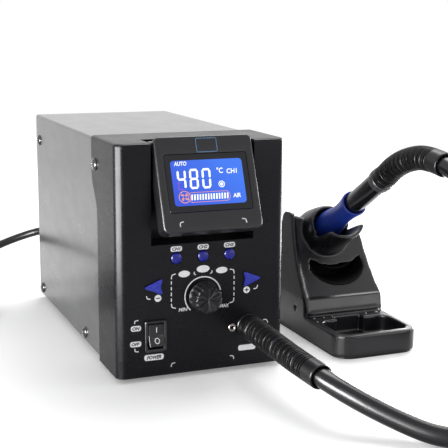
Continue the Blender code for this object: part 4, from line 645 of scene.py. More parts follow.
class Surface:
    """Points, faces and pattern coordinates gathered for one piece."""

    def __init__(self) -> None:
        """Starts with nothing."""
        self.points: list[Array] = []
        self.faces: list[list[int]] = []
        self.corners: list[Array] = []
        self.count = 0

    def sheet(self, grid: Array, around: bool = True) -> "Surface":
        """Adds a grid of quads, whose pattern coordinates go from 0 to 1 round it and along it.

        Args:
            grid: Points of shape (rows, columns, 3); rows run along the piece and columns round it.
            around: Whether the last column joins the first.

        Returns:
            This surface.
        """
        rows, columns = grid.shape[:2]
        wide = columns if around else columns - 1
        r, c = (a.ravel() for a in np.meshgrid(np.arange(rows - 1), np.arange(wide), indexing="ij"))
        n = (c + 1) % columns
        quads = np.stack((r * columns + c, r * columns + n, (r + 1) * columns + n, (r + 1) * columns + c), 1)
        spots = np.stack((np.stack((c, r), 1), np.stack((c + 1, r), 1), np.stack((c + 1, r + 1), 1),
                          np.stack((c, r + 1), 1)), 1) / np.array((wide, rows - 1))
        self.faces += (quads + self.count).tolist()
        self.corners.append(spots.reshape(-1, 2))
        self.points.append(grid.reshape(-1, 3))
        self.count += rows * columns
        return self

    def cap(self, ring: Array) -> "Surface":
        """Closes a ring with a fan to its middle."""
        size = len(ring)
        k = np.arange(size)
        fan = np.stack((k, (k + 1) % size, np.full(size, size)), 1)
        self.faces += (fan + self.count).tolist()
        self.corners.append(np.zeros((3 * size, 2)))
        self.points.append(np.concatenate((ring, ring.mean(0, keepdims=True))))
        self.count += size + 1
        return self

    def closed(self, grid: Array, matrix: Array | None = None) -> "Surface":
        """Adds a grid that goes round, with a fan over each end, after carrying it by the matrix."""
        grid = grid if matrix is None else moved(grid, matrix)
        return self.sheet(grid).cap(grid[0]).cap(grid[-1])

    def ring(self, grid: Array, matrix: Array | None = None) -> "Surface":
        """Adds a grid whose last row joins its first, after carrying it by the matrix."""
        grid = grid if matrix is None else moved(grid, matrix)
        return self.sheet(np.concatenate((grid, grid[:1])))

    def slab(self, outline: Array, low: float, high: float, bevel: float, matrix: Array,
             crown: float = 0.0) -> "Surface":
        """Adds a plate: its outline is carried from one height to another, and near both ends it draws in
        along a quarter circle of the bevel's size.

        Args:
            outline: Anticlockwise points of shape (count, 2).
            low: Height of the back.
            high: Height of the front.
            bevel: Radius of the edges.
            matrix: Place of the plate.
            crown: How much the middle of the front stands out.

        Returns:
            This surface.
        """
        turn = np.linspace(0.0, math.pi / 2, 4 if bevel > 0.0002 else 2)
        ends = [(bevel * (1 - math.cos(a)), high - bevel * (1 - math.sin(a))) for a in turn]
        starts = [(bevel * (1 - math.cos(a)), low + bevel * (1 - math.sin(a))) for a in turn[::-1]]
        rows = [lifted(inset(outline, d), h) for d, h in starts + ends]
        front = rows[-1]
        if crown > 0.0:
            middle = front.mean(0)
            rows += [middle + (front - middle) * s + np.array((0, 0, crown * (1 - s * s)))
                     for s in (0.8, 0.55, 0.25)]
        return self.closed(np.stack(rows), matrix)

    def ribbon(self, line: Array, width: float, low: float, high: float, matrix: Array,
               loop: bool = False) -> "Surface":
        """Adds a flat band along a line: each point moves half the width to either side along its normal,
        and the band stands between two heights.

        Args:
            line: Points of shape (count, 2).
            width: Width of the band.
            low: Its lower height.
            high: Its upper height.
            matrix: Place of the band.
            loop: Whether the line joins its own start.

        Returns:
            This surface.
        """
        along = np.roll(line, -1, 0) - np.roll(line, 1, 0) if loop else np.gradient(line, axis=0)
        along /= np.linalg.norm(along, axis=1, keepdims=True)
        side = np.stack((-along[:, 1], along[:, 0]), 1) * width / 2
        rows = np.stack((lifted(line - side, low), lifted(line + side, low), lifted(line + side, high),
                         lifted(line - side, high)), 1)
        return self.ring(rows, matrix) if loop else self.closed(rows, matrix)

    def inked(self, points: Array, matrix: Array) -> "Surface":
        """Adds one printed line, rounded through its points."""
        flat = smooth_line(lifted(np.asarray(points, float), 0.0), 0.0004)[:, :2]
        return self.ribbon(flat, INK_LINE, INK_BACK, INK_FRONT, matrix)

    def mesh(self, source: bpy.types.Mesh, matrix: Array) -> "Surface":
        """Adds a mesh that another tool made, such as lettering."""
        faces = [list(p.vertices) for p in source.polygons]
        self.faces += [[v + self.count for v in f] for f in faces]
        self.corners.append(np.zeros((sum(map(len, faces)), 2)))
        self.points.append(moved(vertices_of(source), matrix))
        self.count += len(source.vertices)
        return self

    def block(self, outlines: Array) -> "Surface":
        """Adds a solid through outlines of shape (rows, count, 3), with a flat face at each end."""
        rows, size = outlines.shape[:2]
        self.sheet(outlines)
        ring = np.arange(size) + self.count
        self.faces += [(ring - rows * size).tolist(), (ring - size).tolist()]
        self.corners.append(np.zeros((2 * size, 2)))
        return self

    def letters(self, text: str, at: tuple[float, float], height: float, width: float, matrix: Array,
                shear: float = 0.0, weight: float = 0.03, base: float = INK_BACK,
                thickness: float = INK_FRONT) -> None:
        """Adds plain letters or figures as thin raised shapes, stretched to the given size.

        Args:
            text: The letters.
            at: Their middle, in the plane's own lengths.
            height: Their height.
            width: Their whole width.
            matrix: The plane they stand on.
            shear: How much they lean to the right.
            weight: How much the strokes are thickened.
            base: Height of their back over the plane.
            thickness: How far they stand out of it.
        """
        curve = bpy.data.curves.new("letters", "FONT")
        curve.body, curve.shear, curve.offset = text, shear, weight
        curve.resolution_u, curve.extrude = 3, 0.02
        flat = baked(stood("letters", curve))
        bpy.data.curves.remove(curve)
        points = vertices_of(flat)
        low, high = points.min(0), points.max(0)
        points[:, 0] = at[0] + ((points[:, 0] - low[0]) / (high[0] - low[0]) - 0.5) * width
        points[:, 1] = at[1] + ((points[:, 1] - low[1]) / (high[1] - low[1]) - 0.5) * height
        points[:, 2] = (points[:, 2] - low[2]) / (high[2] - low[2]) * thickness + base
        flat.vertices.foreach_set("co", points.ravel())
        self.mesh(flat, matrix)
        bpy.data.meshes.remove(flat)

    def plain(self, name: str) -> bpy.types.Mesh:
        """The gathered points and faces as a mesh."""
        mesh = bpy.data.meshes.new(name)
        mesh.from_pydata(np.concatenate(self.points).tolist(), [], self.faces)
        return mesh

    def piece(self, name: str, finish: Finish, body: Body | None, replaces: tuple[str, ...] = (),
              sharp: float = 35.0, plane: Array | None = None) -> bpy.types.Object:
        """Makes the piece, gives it its finish and sets it on its body.

        Args:
            name: The piece's name.
            finish: Its finish.
            body: The body it rides on, or None where it is blended from one body to another.
            replaces: The solids that it stands for.
            sharp: Angle in degrees above which an edge stays sharp.
            plane: A plane whose own millimetres become the pattern coordinates.

        Returns:
            The piece.
        """
        mesh = self.plain(name)
        layer = mesh.uv_layers.new(name="UVMap")
        spots = np.concatenate(self.corners)
        if plane is not None:
            order = np.zeros(len(mesh.loops), int)
            mesh.loops.foreach_get("vertex_index", order)
            flat = (np.concatenate(self.points)[order] - plane[:3, 3]) @ plane[:3, :3]
            spots = flat[:, :2] * 1000.0
        layer.data.foreach_set("uv", spots.astype(np.float32).ravel())
        tidy_mesh(mesh)
        mesh.shade_smooth()
        mesh.set_sharp_from_angle(angle=math.radians(sharp))
        made = stood(name, mesh)
        made.data.materials.append(finish.material())
        return settle(made, body, replaces)


def stood(name: str, data: bpy.types.ID) -> bpy.types.Object:
    """An object of the given data, linked to the scene."""
    made = bpy.data.objects.new(name, data)
    bpy.context.scene.collection.objects.link(made)
    return made


def tidy_mesh(mesh: bpy.types.Mesh) -> None:
    """Merges doubled points and turns every face outwards."""
    bm = bmesh.new()
    bm.from_mesh(mesh)
    bmesh.ops.remove_doubles(bm, verts=bm.verts, dist=1e-6)
    bmesh.ops.dissolve_degenerate(bm, dist=1e-7, edges=bm.edges)
    bmesh.ops.recalc_face_normals(bm, faces=bm.faces)
    bm.to_mesh(mesh)
    bm.free()


def settle(made: bpy.types.Object, body: Body | None,
           replaces: tuple[str, ...] = ()) -> bpy.types.Object:
    """Sets a piece on its body and the solids it stands for, and reports it."""
    if body is not None:
        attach(made, body.value)
    if replaces:
        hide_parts(*replaces)
    LOG.info("%s: %d faces on %s", made.name, len(made.data.polygons), body.value if body else "two bodies")
    return made


def dress(finish: Finish, *nodes: str) -> None:
    """Gives solids whose shape stays their finish."""
    for name in nodes:
        item = frame["nodes"][name]
        item.data.materials.clear()
        item.data.materials.append(finish.material())
        item.data.shade_smooth()
        item.data.set_sharp_from_angle(angle=math.radians(32))
        LOG.info("%s: dressed as %s", name, finish.name)


def clean_copy(node: str) -> bpy.types.Mesh:
    """A copy of a solid's mesh with its doubled points merged and its flat faces made whole."""
    mesh = frame["nodes"][node].data.copy()
    bm = bmesh.new()
    bm.from_mesh(mesh)
    bmesh.ops.remove_doubles(bm, verts=bm.verts, dist=2e-6)
    bmesh.ops.dissolve_limit(bm, angle_limit=math.radians(0.6), verts=bm.verts, edges=bm.edges,
                             delimit={"NORMAL"})
    bm.to_mesh(mesh)
    bm.free()
    return mesh


def softened(node: str, name: str, finish: Finish, body: Body, edge: float,
             segments: int = 2) -> bpy.types.Object:
    """A solid's own form with its sharp edges rounded, as moulding leaves them.

    Args:
        node: The solid.
        name: Name of the piece.
        finish: Its finish.
        body: The body it rides on.
        edge: Width of the rounding.
        segments: Steps in the rounding.

    Returns:
        The piece.
    """
    mesh = clean_copy(node)
    mesh.name = name
    mesh.materials.clear()
    mesh.materials.append(finish.material())
    made = stood(name, mesh)
    bevel = made.modifiers.new("rounding", "BEVEL")
    bevel.width = edge
    bevel.segments = segments
    bevel.limit_method = "ANGLE"
    bevel.angle_limit = math.radians(38)
    bevel.harden_normals = False
    bevel.use_clamp_overlap = True
    mesh.shade_smooth()
    mesh.set_sharp_from_angle(angle=math.radians(60))
    weighted = made.modifiers.new("faces", "WEIGHTED_NORMAL")
    weighted.keep_sharp = True
    return settle(made, body, (node,))


def baked(made: bpy.types.Object) -> bpy.types.Mesh:
    """The mesh that an object's modifiers leave; the object goes."""
    bpy.context.view_layer.update()
    mesh = bpy.data.meshes.new_from_object(made.evaluated_get(bpy.context.evaluated_depsgraph_get()))
    bpy.data.objects.remove(made)
    return mesh


def carved(mesh: bpy.types.Mesh, cutters: list[Surface]) -> bpy.types.Mesh:
    """The volume of a mesh less the volumes of the cutters."""
    made = stood("carved", mesh)
    tools = []
    for cutter in cutters:
        shape = cutter.plain("cutter")
        tidy_mesh(shape)
        tool = stood("cutter", shape)
        cut = made.modifiers.new("cut", "BOOLEAN")
        cut.operation, cut.solver, cut.object = "DIFFERENCE", "EXACT", tool
        tools.append(tool)
    result = baked(made)
    for tool in tools:
        bpy.data.objects.remove(tool)
    return result


# Cords

@dataclass
class Hose:
    """The air hose between the box and the handle, with the ribbed sleeve at each of its ends."""
    radius: float = 0.006
    sleeve: float = 0.0083
    sleeve_end: float = 0.0078
    ribs: int = 36
    groove: float = 0.0012
    groove_wave: tuple[float, float] = (0.30, 0.10)
    bridge_wave: tuple[float, float] = (0.78, 0.15)
    bridge_fill: float = 0.45
    pitch: float = 0.00026
    plain_start: float = 0.006
    mouth: float = 0.012
    mouth_round: tuple[float, float] = (0.0012, 0.0006)
    mouth_step: tuple[float, float] = (0.0005, 0.0009)
    bore: float = 0.0066
    depth: float = 0.008
    low: float = 0.0062
    bend: Point = (0.1144, -0.1216, 0.050)
    loop: Point = (0.2164, -0.094, 0.052)
    meet: float = 0.024
    station_sleeve: tuple[Point, ...] = ((0.0324, -0.0020, 0.0306), (0.0323, -0.0190, 0.0303),
                                         (0.0325, -0.0380, 0.0299), (0.0331, -0.0700, 0.0286),
                                         (0.0361, -0.0985, 0.0264))
    handle_sleeve: tuple[Point, ...] = ((0.130, -0.0005, 0.12380), (0.130, -0.0073, 0.1280),
                                        (0.130, -0.0163, 0.1341), (0.130, -0.0300, 0.1404),
                                        (0.130, -0.0480, 0.1448), (0.130, -0.0620, 0.1450),
                                        (0.130, -0.0760, 0.1436))
    station_run: tuple[Point, ...] = ((0.0396, -0.1090, 0.0240), (0.0460, -0.1185, 0.0201),
                                      (0.0537, -0.1278, 0.0159), (0.0625, -0.1380, 0.0118),
                                      (0.0715, -0.1485, 0.0082))
    handle_run: tuple[Point, ...] = ((0.1300, -0.0900, 0.1404), (0.1312, -0.1050, 0.1330),
                                     (0.1365, -0.1190, 0.1185), (0.1465, -0.1325, 0.0960),
                                     (0.1602, -0.1435, 0.0690), (0.1755, -0.1515, 0.0420),
                                     (0.1915, -0.1562, 0.0225), (0.2060, -0.1580, 0.0117),
                                     (0.2190, -0.1580, 0.0070))

    def floor_arc(self, centre: tuple[float, float], radius: float, start: float, end: float,
                  count: int) -> Array:
        """Hose lying on the table along part of a circle, the angles in degrees."""
        return lifted(arc_line(radius, start, end, count, centre), self.low)

    def route(self) -> Array:
        """The middle line of the free hose, from inside one sleeve to inside the other."""
        x, y, r = self.bend
        lx, ly, lr = self.loop
        first = smooth_line(np.array(self.station_sleeve), 0.001)
        last = smooth_line(np.array(self.handle_sleeve), 0.001)
        inside = int(self.depth / 0.001)
        points = [first[[-inside, -inside // 2, -1]], np.array(self.station_run),
                  self.floor_arc((x, y), r, 225.0, 352.0, 8),
                  self.floor_arc((lx, ly + self.meet / 2), lr, 172.0, 0.0, 10),
                  self.floor_arc((lx, ly - self.meet / 2), lr, 0.0, -72.0, 5),
                  np.array(self.handle_run)[::-1], last[[-1, -inside // 2, -inside]]]
        return smooth_line(np.concatenate(points), 0.0025, 0.007)

    def sleeve_skin(self, route: tuple[Point, ...]) -> Array:
        """The ribbed sleeve along its own line.

        Along the ribbed part the radius rises and falls once for each rib, as a flat-topped wave, and the
        grooves are bridged at four places round the sleeve that turn by an eighth from groove to groove.
        A smooth mouth ends it, and the skin turns back into a bore round the hose.
        """
        line = smooth_line(np.array(route), self.pitch)
        run = np.linspace(0.0, line_length(line), len(line))
        full = run[-1]
        sides = 48
        turn = np.linspace(0.0, math.tau, sides, endpoint=False)[None, :]
        start, end = self.plain_start, full - self.mouth
        count = (run - start) / (end - start) * self.ribs
        inside = ((count >= 0) & (count < self.ribs))[:, None]
        wave = np.abs(((count + 0.5) % 1.0) - 0.5)
        half, blur = self.groove_wave
        cut = eased(np.clip((half - wave) / blur, 0.0, 1.0)[:, None])
        parity = np.floor(count + 0.5)[:, None] % 2
        low, blur = self.bridge_wave
        bridge = np.clip((np.cos(4 * (turn - parity * math.pi / 4)) - low) / blur, 0.0, 1.0)
        outer = (self.sleeve + (self.sleeve_end - self.sleeve) * run / full)[:, None]
        radius = outer - np.where(inside, cut * self.groove * (1.0 - self.bridge_fill * bridge), 0.0)
        long, drop = self.mouth_round
        round_end = np.clip((run - (full - long)) / long, 0.0, 1.0)[:, None]
        radius = radius - drop * (1 - np.sqrt(np.maximum(1 - round_end ** 2, 0.0)))
        long, drop = self.mouth_step
        radius = radius - drop * np.clip(1 - np.abs(run - end) / long, 0.0, 1.0)[:, None]
        back = np.arange(len(line) - 1, len(line) - 1 - int(self.depth / self.pitch), -5)
        bore = np.full((len(back), sides), self.bore)
        bore[0] = self.bore + 0.0004
        rows = np.concatenate((np.arange(len(line)), back))
        return tube(ORIGIN + line, np.concatenate((radius, bore)), sides, rows)

    def build(self) -> None:
        """Makes the hose, both sleeves and the gland in the panel."""
        line = ORIGIN + self.route()
        size = np.full(len(line), self.radius)
        hose = Surface().closed(tube(line, size, 32)).piece(
            "air_hose", HOSE_SHEATH, None, ("hose_station_run", "hose_handle_run"))
        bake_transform(hose)
        LOG.info("air hose: %.3f m free", line_length(line))
        Surface().closed(self.sleeve_skin(self.station_sleeve)).piece(
            "hose_sleeve_box", SLEEVE_RUBBER, Body.STATION, ("hose_sleeve_station",), sharp=50)
        Surface().closed(self.sleeve_skin(self.handle_sleeve)).piece(
            "hose_sleeve_grip", SLEEVE_RUBBER, Body.HANDLE, ("hose_sleeve_handle",), sharp=50)
        ring = bevelled(np.array(((0.0045, 0.0022), (0.0076, 0.0022), (0.0086, 0.0012), (0.0086, 0.0001),
                                  (0.0070, 0.0001), (0.0070, -0.012), (0.0045, -0.012))), 0.0005)
        x, _, z = self.station_sleeve[0]
        Surface().ring(turned(ring, 48), seat((x, 0.0, z), Facing.FRONT)).piece(
            "hose_gland_ring", SWITCH_MOULDING, Body.STATION, ("hose_gland",))


@dataclass
class MainsLead:
    """The mains lead from its tapered strain relief to the coil that it is stored in and its plug."""
    radius: float = 0.00325
    gland: Point = (-0.036, 0.233, 0.050)
    gland_radius: float = 0.007
    gland_length: float = 0.024
    coil: tuple[float, float] = (-0.144, 0.200)
    mean: float = 0.038
    turns: tuple[tuple[int, int], ...] = ((1, 0), (-1, 0), (-1, 1), (1, 1), (-1, 2), (1, 2))
    plug: Point = (-0.182, 0.1704, 0.0165)
    run: tuple[Point, ...] = ((-0.0365, 0.2665, 0.0493), (-0.0400, 0.2770, 0.0480),
                              (-0.0490, 0.2850, 0.0450), (-0.0640, 0.2890, 0.0402),
                              (-0.0820, 0.2875, 0.0345), (-0.1040, 0.2810, 0.0260),
                              (-0.1260, 0.2690, 0.0175), (-0.1460, 0.2550, 0.0100))

    def winding(self) -> Array:
        """The coil: the turn goes from where the lead lands, and at the start of each turn its radius and
        height go smoothly over to that turn's place in the pile."""
        turn = np.linspace(0.0, 30.0 / 360.0 + len(self.turns), 20 * len(self.turns) + 3)
        step = np.minimum(turn.astype(int), len(self.turns) - 1)
        places = np.array([(3.1, 0.0)] + [(float(c), float(r)) for c, r in self.turns])
        share = eased(np.clip((turn - step) / 0.16, 0.0, 1.0)[:, None])
        place = places[step] + (places[step + 1] - places[step]) * share
        radius = self.mean + self.radius * place[:, 0]
        angle = math.radians(150.0) + math.tau * turn
        return np.stack((self.coil[0] + radius * np.cos(angle), self.coil[1] + radius * np.sin(angle),
                         self.radius * (1.0 + 2.0 * place[:, 1]) + 0.0001), 1)

    def route(self) -> Array:
        """The lead's whole middle line."""
        x, y, z = self.gland
        tip = y + self.gland_length
        start = np.array(((x, tip - 0.010, z), (x, tip, z)))
        landing = arc_line(self.mean + 3.1 * self.radius, 122.0, 140.0, 2, self.coil)
        landing = np.concatenate((landing, np.array(((self.radius + 0.0022,), (self.radius + 0.0003,)))), 1)
        winding = self.winding()
        px, py, pz = self.plug
        end = np.array(((px - 0.0016, py + 0.018, pz), (px, py + 0.008, pz), (px, py - 0.004, pz)))
        return smooth_line(np.concatenate((start, np.array(self.run), landing, winding, end)), 0.002, 0.003)

    def build_relief(self) -> bpy.types.Object:
        """The strain relief: a collar, then a taper cut by grooves that are bridged like the sleeves'."""
        run = np.linspace(0.0, self.gland_length, 140)
        line = np.array(self.gland) + np.stack((np.zeros(140), run, np.zeros(140)), 1)
        turn = np.linspace(0.0, math.tau, 32, endpoint=False)[None, :]
        taper = self.gland_radius - 0.0012 - 0.0014 * run / self.gland_length
        base = np.where(run < 0.003, self.gland_radius, taper)[:, None]
        count = (run - 0.0045) / (self.gland_length - 0.0075) * 6
        inside = ((count > 0) & (count < 6))[:, None]
        cut = np.clip((0.26 - np.abs((count % 1.0) - 0.5)) / 0.08, 0.0, 1.0)[:, None]
        bridge = np.clip((np.cos(2 * (turn - (np.floor(count)[:, None] % 2) * math.pi / 2)) - 0.3) / 0.3,
                         0.0, 1.0)
        radius = base - np.where(inside, cut * 0.0011 * (1 - 0.8 * bridge), 0.0)
        back = np.arange(len(run) - 1, 90, -6)
        bore = np.full((len(back), 32), self.radius + 0.0003)
        skin = tube(ORIGIN + line, np.concatenate((radius, bore)), 32,
                    np.concatenate((np.arange(len(run)), back)))
        return Surface().closed(skin).piece("mains_strain_relief", SOFT_RUBBER, Body.STATION,
                                            ("cord_gland",), sharp=50)

    def build_plug(self) -> tuple[bpy.types.Object, bpy.types.Object]:
        """The round plug: a sleeve, a waist and a disc-shaped front, with finger grooves round its rim."""
        profile = np.array(((0.0, 0.0), (0.0050, 0.0), (0.0058, 0.012), (0.0090, 0.0145), (0.0104, 0.0205),
                            (0.0150, 0.0258), (0.0164, 0.0285), (0.0165, 0.0350), (0.0158, 0.036),
                            (0.0, 0.036)))
        skin = turned(bevelled(profile, 0.0014, 4), 72)
        turn = np.linspace(0.0, math.tau, 72, endpoint=False)[None, :, None]
        flat = np.linalg.norm(skin[..., :2], axis=2, keepdims=True)
        rim = np.clip((flat - 0.0145) / 0.0015, 0.0, 1.0)
        skin[..., :2] *= 1.0 - 0.030 * rim * np.clip(np.cos(24 * turn), 0.0, 1.0) ** 2
        place = seat(self.plug, Facing.FRONT)
        body = Surface().sheet(moved(skin, place)).piece("mains_plug_body", PLUG_MOULDING, Body.STATION,
                                                         ("mains_plug", "mains_coil"))
        pin = bevelled(np.array(((0.0, 0.035), (0.0024, 0.035), (0.0024, 0.055), (0.0, 0.055))), 0.0009, 4)
        pins = Surface()
        for side in (-1, 1):
            x, y, z = self.plug
            pins.sheet(moved(turned(pin, 28), seat((x + side * 0.0095, y, z), Facing.FRONT)))
        made = pins.piece("mains_plug_pins", NICKEL_SOCKET, Body.STATION)
        return body, made

    def build_tie(self) -> bpy.types.Object:
        """A strap round the pile of turns, on the far side from the plug."""
        outline = rounded_loop(0.0070, 0.0102, 0.0032, 6, (self.mean, 0.0099))
        outer, inner = outline, inset(outline, 0.0007)
        rows = [(outer, -0.004), (outer, 0.004), (inner, 0.004), (inner, -0.004)]
        grid = np.stack([np.stack((o[:, 0], np.full(len(o), h), o[:, 1]), 1) for o, h in rows])
        place = np.eye(4)
        place[:3, :3] = np.array(Matrix.Rotation(math.radians(35.0), 3, "Z"))
        place[:3, 3] = ORIGIN + np.array((*self.coil, 0.0))
        return Surface().ring(grid, place).piece("lead_tie", SOFT_RUBBER, Body.STATION)

    def build(self) -> None:
        """Makes the lead, its coil, strain relief, plug and tie."""
        line = ORIGIN + self.route()
        lead = Surface().closed(tube(line, np.full(len(line), self.radius), 16)).piece(
            "mains_lead", LEAD_SHEATH, Body.STATION, ("mains_cord",))
        relief = self.build_relief()
        plug, pins = self.build_plug()
        tie = self.build_tie()
        LOG.info("mains lead: %.3f m", line_length(line))


# The box

@dataclass
class ControlBox:
    """The sheet metal case with its moulded front, screws, feet, rear fittings and what is inside."""
    half: float = 0.0562
    panel_half: float = 0.058
    head: float = 0.0043
    dome: float = 0.0024
    slot: float = 0.0005
    slot_reach: float = 0.0024
    case_screws: tuple[tuple[float, float], ...] = ((0.223, 0.1334), (0.223, 0.0106), (0.0874, 0.0106))
    panel_screw: tuple[float, float] = (0.0477, 0.1369)

    def screw_skin(self) -> Array:
        """A domed head with a cross recess.

        The height falls from the crown to the rim as a quarter of an ellipse. Where the place lies in one
        of the cross's two arms it sinks along a smooth step, and the arms run out before the rim.
        """
        share = np.concatenate((np.linspace(0.0, 0.62, 26), np.linspace(0.68, 1.0, 7)))[::-1]
        sides = 80
        turn = np.linspace(0.0, math.tau, sides, endpoint=False)
        radius = np.maximum(share, 0.002)[:, None] * self.head
        x, y = radius * np.cos(turn), radius * np.sin(turn)
        height = 0.0003 + (self.dome - 0.0006) * np.sqrt(np.maximum(1.0 - share ** 2, 0.0))[:, None] + 0.0 * x
        off = np.minimum(np.abs(x), np.abs(y))
        arm = np.clip((self.slot - off) / 0.00022, 0.0, 1.0)
        run = np.clip((self.slot_reach - np.hypot(x, y)) / 0.0005, 0.0, 1.0)
        height = height - 0.0013 * arm * run
        skin = np.stack((x, y, height), -1)
        return np.concatenate((skin[:1] * np.array((1.0, 1.0, 0.0)) - np.array((0.0, 0.0, 0.0003)), skin))

    def build_screws(self) -> None:
        """All eight screw heads."""
        heads = Surface()
        skin = self.screw_skin()
        spots = [(self.half, *spot) for spot in self.case_screws] + [(self.panel_half, *self.panel_screw)]
        for side, facing in ((-1, Facing.LEFT), (1, Facing.RIGHT)):
            for x, y, z in spots:
                heads.sheet(moved(skin, seat((side * x, y, z), facing)))
        heads.piece("case_screws", SCREW_STEEL, Body.STATION,
                    tuple(f"side_screw_{i}" for i in range(1, 9)), sharp=40)

    def build(self) -> None:
        """Makes and dresses the box."""
        softened("case_cover", "painted_cover", CASE_PAINT, Body.STATION, 0.0003, 1)
        dress(CASE_PAINT, "base_plate", "rear_panel")
        softened("front_panel", "front_moulding", PANEL_MOULDING, Body.STATION, 0.0006)
        self.build_screws()
        dress(SOFT_RUBBER, "foot_1", "foot_2", "foot_3", "foot_4")
        dress(SWITCH_MOULDING, "fuse_holder", "fuse_cap")
        dress(CORE_STEEL, "transformer_core", "air_pump")
        dress(COIL_COPPER, "transformer_coil")
        dress(FIN_ALUMINIUM, "heatsink")
        dress(BOARD_GREEN, "control_board", "power_board", "display_board")
        dress(BARE_STEEL, "encoder_body", "encoder_shaft", "pump_bracket", "hinge_pin_left",
              "hinge_pin_right")
        dress(HEATER_CERAMIC, "heater_core")
        dress(LCD_GLASS, "lcd_module")


@dataclass
class Prints:
    """The marks printed on the panel: label grounds, plain signs, the knob's scale and corner lines."""
    sign_front: float = 0.00012
    sign_stroke: tuple[float, float] = (0.0014, 0.00036)
    sign_at: tuple[float, float] = (0.03085, 0.0554)
    scale_at: tuple[float, float] = (0.0, 0.0544)
    scale_radius: float = 0.0125
    frame: tuple[float, float, float] = (0.0218, 0.0477, 0.0704)
    labels: tuple[tuple[str, float, float, float, float], ...] = (
        ("CH1", -0.01835, 0.0868, 0.0039, 0.0017), ("CH2", 0.0, 0.0868, 0.0039, 0.0017),
        ("CH3", 0.01835, 0.0868, 0.0039, 0.0017), ("ON", -0.0457, 0.0368, 0.0034, 0.0018),
        ("OFF", -0.0460, 0.0264, 0.0037, 0.0018), ("POWER", -0.0337, 0.0164, 0.0066, 0.0020),
        ("", 0.0315, 0.0158, 0.0063, 0.0019))
    ellipses: tuple[tuple[float, float, float, float], ...] = (
        (-0.0130, 0.0699, 0.0039, 0.0022), (0.0130, 0.0703, 0.0040, 0.0021), (0.0, 0.0722, 0.0045, 0.0024))
    corners: tuple[tuple[tuple[float, float], ...], ...] = (
        ((-0.0466, 0.0400), (-0.0463, 0.0417), (-0.0440, 0.0421)),
        ((-0.0466, 0.0235), (-0.0463, 0.0217), (-0.0441, 0.0213)),
        ((-0.0385, 0.0575), (-0.0379, 0.0557), (-0.0359, 0.0553)),
        ((0.0387, 0.0580), (0.0380, 0.0560), (0.0358, 0.0556)),
        ((0.0431, 0.0336), (0.0455, 0.0334), (0.0466, 0.0312)),
        ((-0.0221, 0.0085), (-0.0215, 0.0105), (-0.0193, 0.0110)),
        ((0.0193, 0.0112), (0.0215, 0.0107), (0.0220, 0.0087)),
        ((-0.0060, 0.0707), (-0.0062, 0.0694), (-0.0050, 0.0687)),
        ((0.0060, 0.0707), (0.0062, 0.0694), (0.0050, 0.0687)))

    def build_frame(self, surface: Surface, matrix: Array) -> None:
        """The dashed frame round the knob's scale: its four corners and the dashes of its sides."""
        wide, low, high = self.frame
        for side in (-1, 1):
            for z, way in ((low, 1), (high, -1)):
                surface.inked([(side * wide, z + way * 0.0032), (side * (wide - 0.0006), z + way * 0.0007),
                               (side * (wide - 0.0030), z)], matrix)
            for i in range(4):
                start = low + 0.0045 + i * 0.0038
                surface.inked([(side * wide, start), (side * wide, start + 0.0022)], matrix)

    def build(self) -> None:
        """Makes the light marks and the dark letters on their grounds."""
        light, dark = Surface(), Surface()
        panel = seat((0.0, 0.0, 0.0), Facing.FRONT)
        ink = (INK_BACK, INK_FRONT, INK_EDGE)
        for text, x, z, wide, high in self.labels:
            light.slab(rounded_loop(wide, high, 0.8 * high, 5, (x, z)), *ink, panel)
            if text:
                dark.letters(text, (x, z), 1.25 * high, 1.5 * wide, panel, 0.25, 0.045, INK_FRONT)
        for x, z, wide, high in self.ellipses:
            light.slab(ellipse(wide, high, 36, (x, z)), *ink, panel)
        x, z = self.sign_at
        for spot, strokes in (((-x, z), 1), ((x, z), 2)):
            light.slab(ellipse(0.0023, 0.0023, 28, spot), *ink, panel)
            for wide, high in (self.sign_stroke, self.sign_stroke[::-1])[:strokes]:
                stroke = rounded_loop(wide, high, 0.0001, 2, spot)
                dark.slab(stroke, INK_FRONT, self.sign_front, INK_EDGE, panel)
        for points in self.corners:
            light.inked(points, panel)
        self.build_frame(light, panel)
        light.letters("MIN", (-0.0138, 0.0463), 0.0023, 0.0062, panel, 0.2)
        light.letters("MAX", (0.0152, 0.0462), 0.0023, 0.0064, panel, 0.2)
        light.ribbon(arc_line(self.scale_radius, 226.0, 12.0, 70, self.scale_at), 0.0008, INK_BACK,
                     INK_FRONT, panel)
        for i in range(5):
            start = 4.0 - 11.0 * i
            light.ribbon(arc_line(self.scale_radius, start, start - 5.0, 6, self.scale_at), INK_LINE,
                         INK_BACK, INK_FRONT, panel)
        light.piece("panel_marks", WHITE_INK, Body.STATION)
        dark.piece("panel_letters", DARK_INK, Body.STATION)


# The display

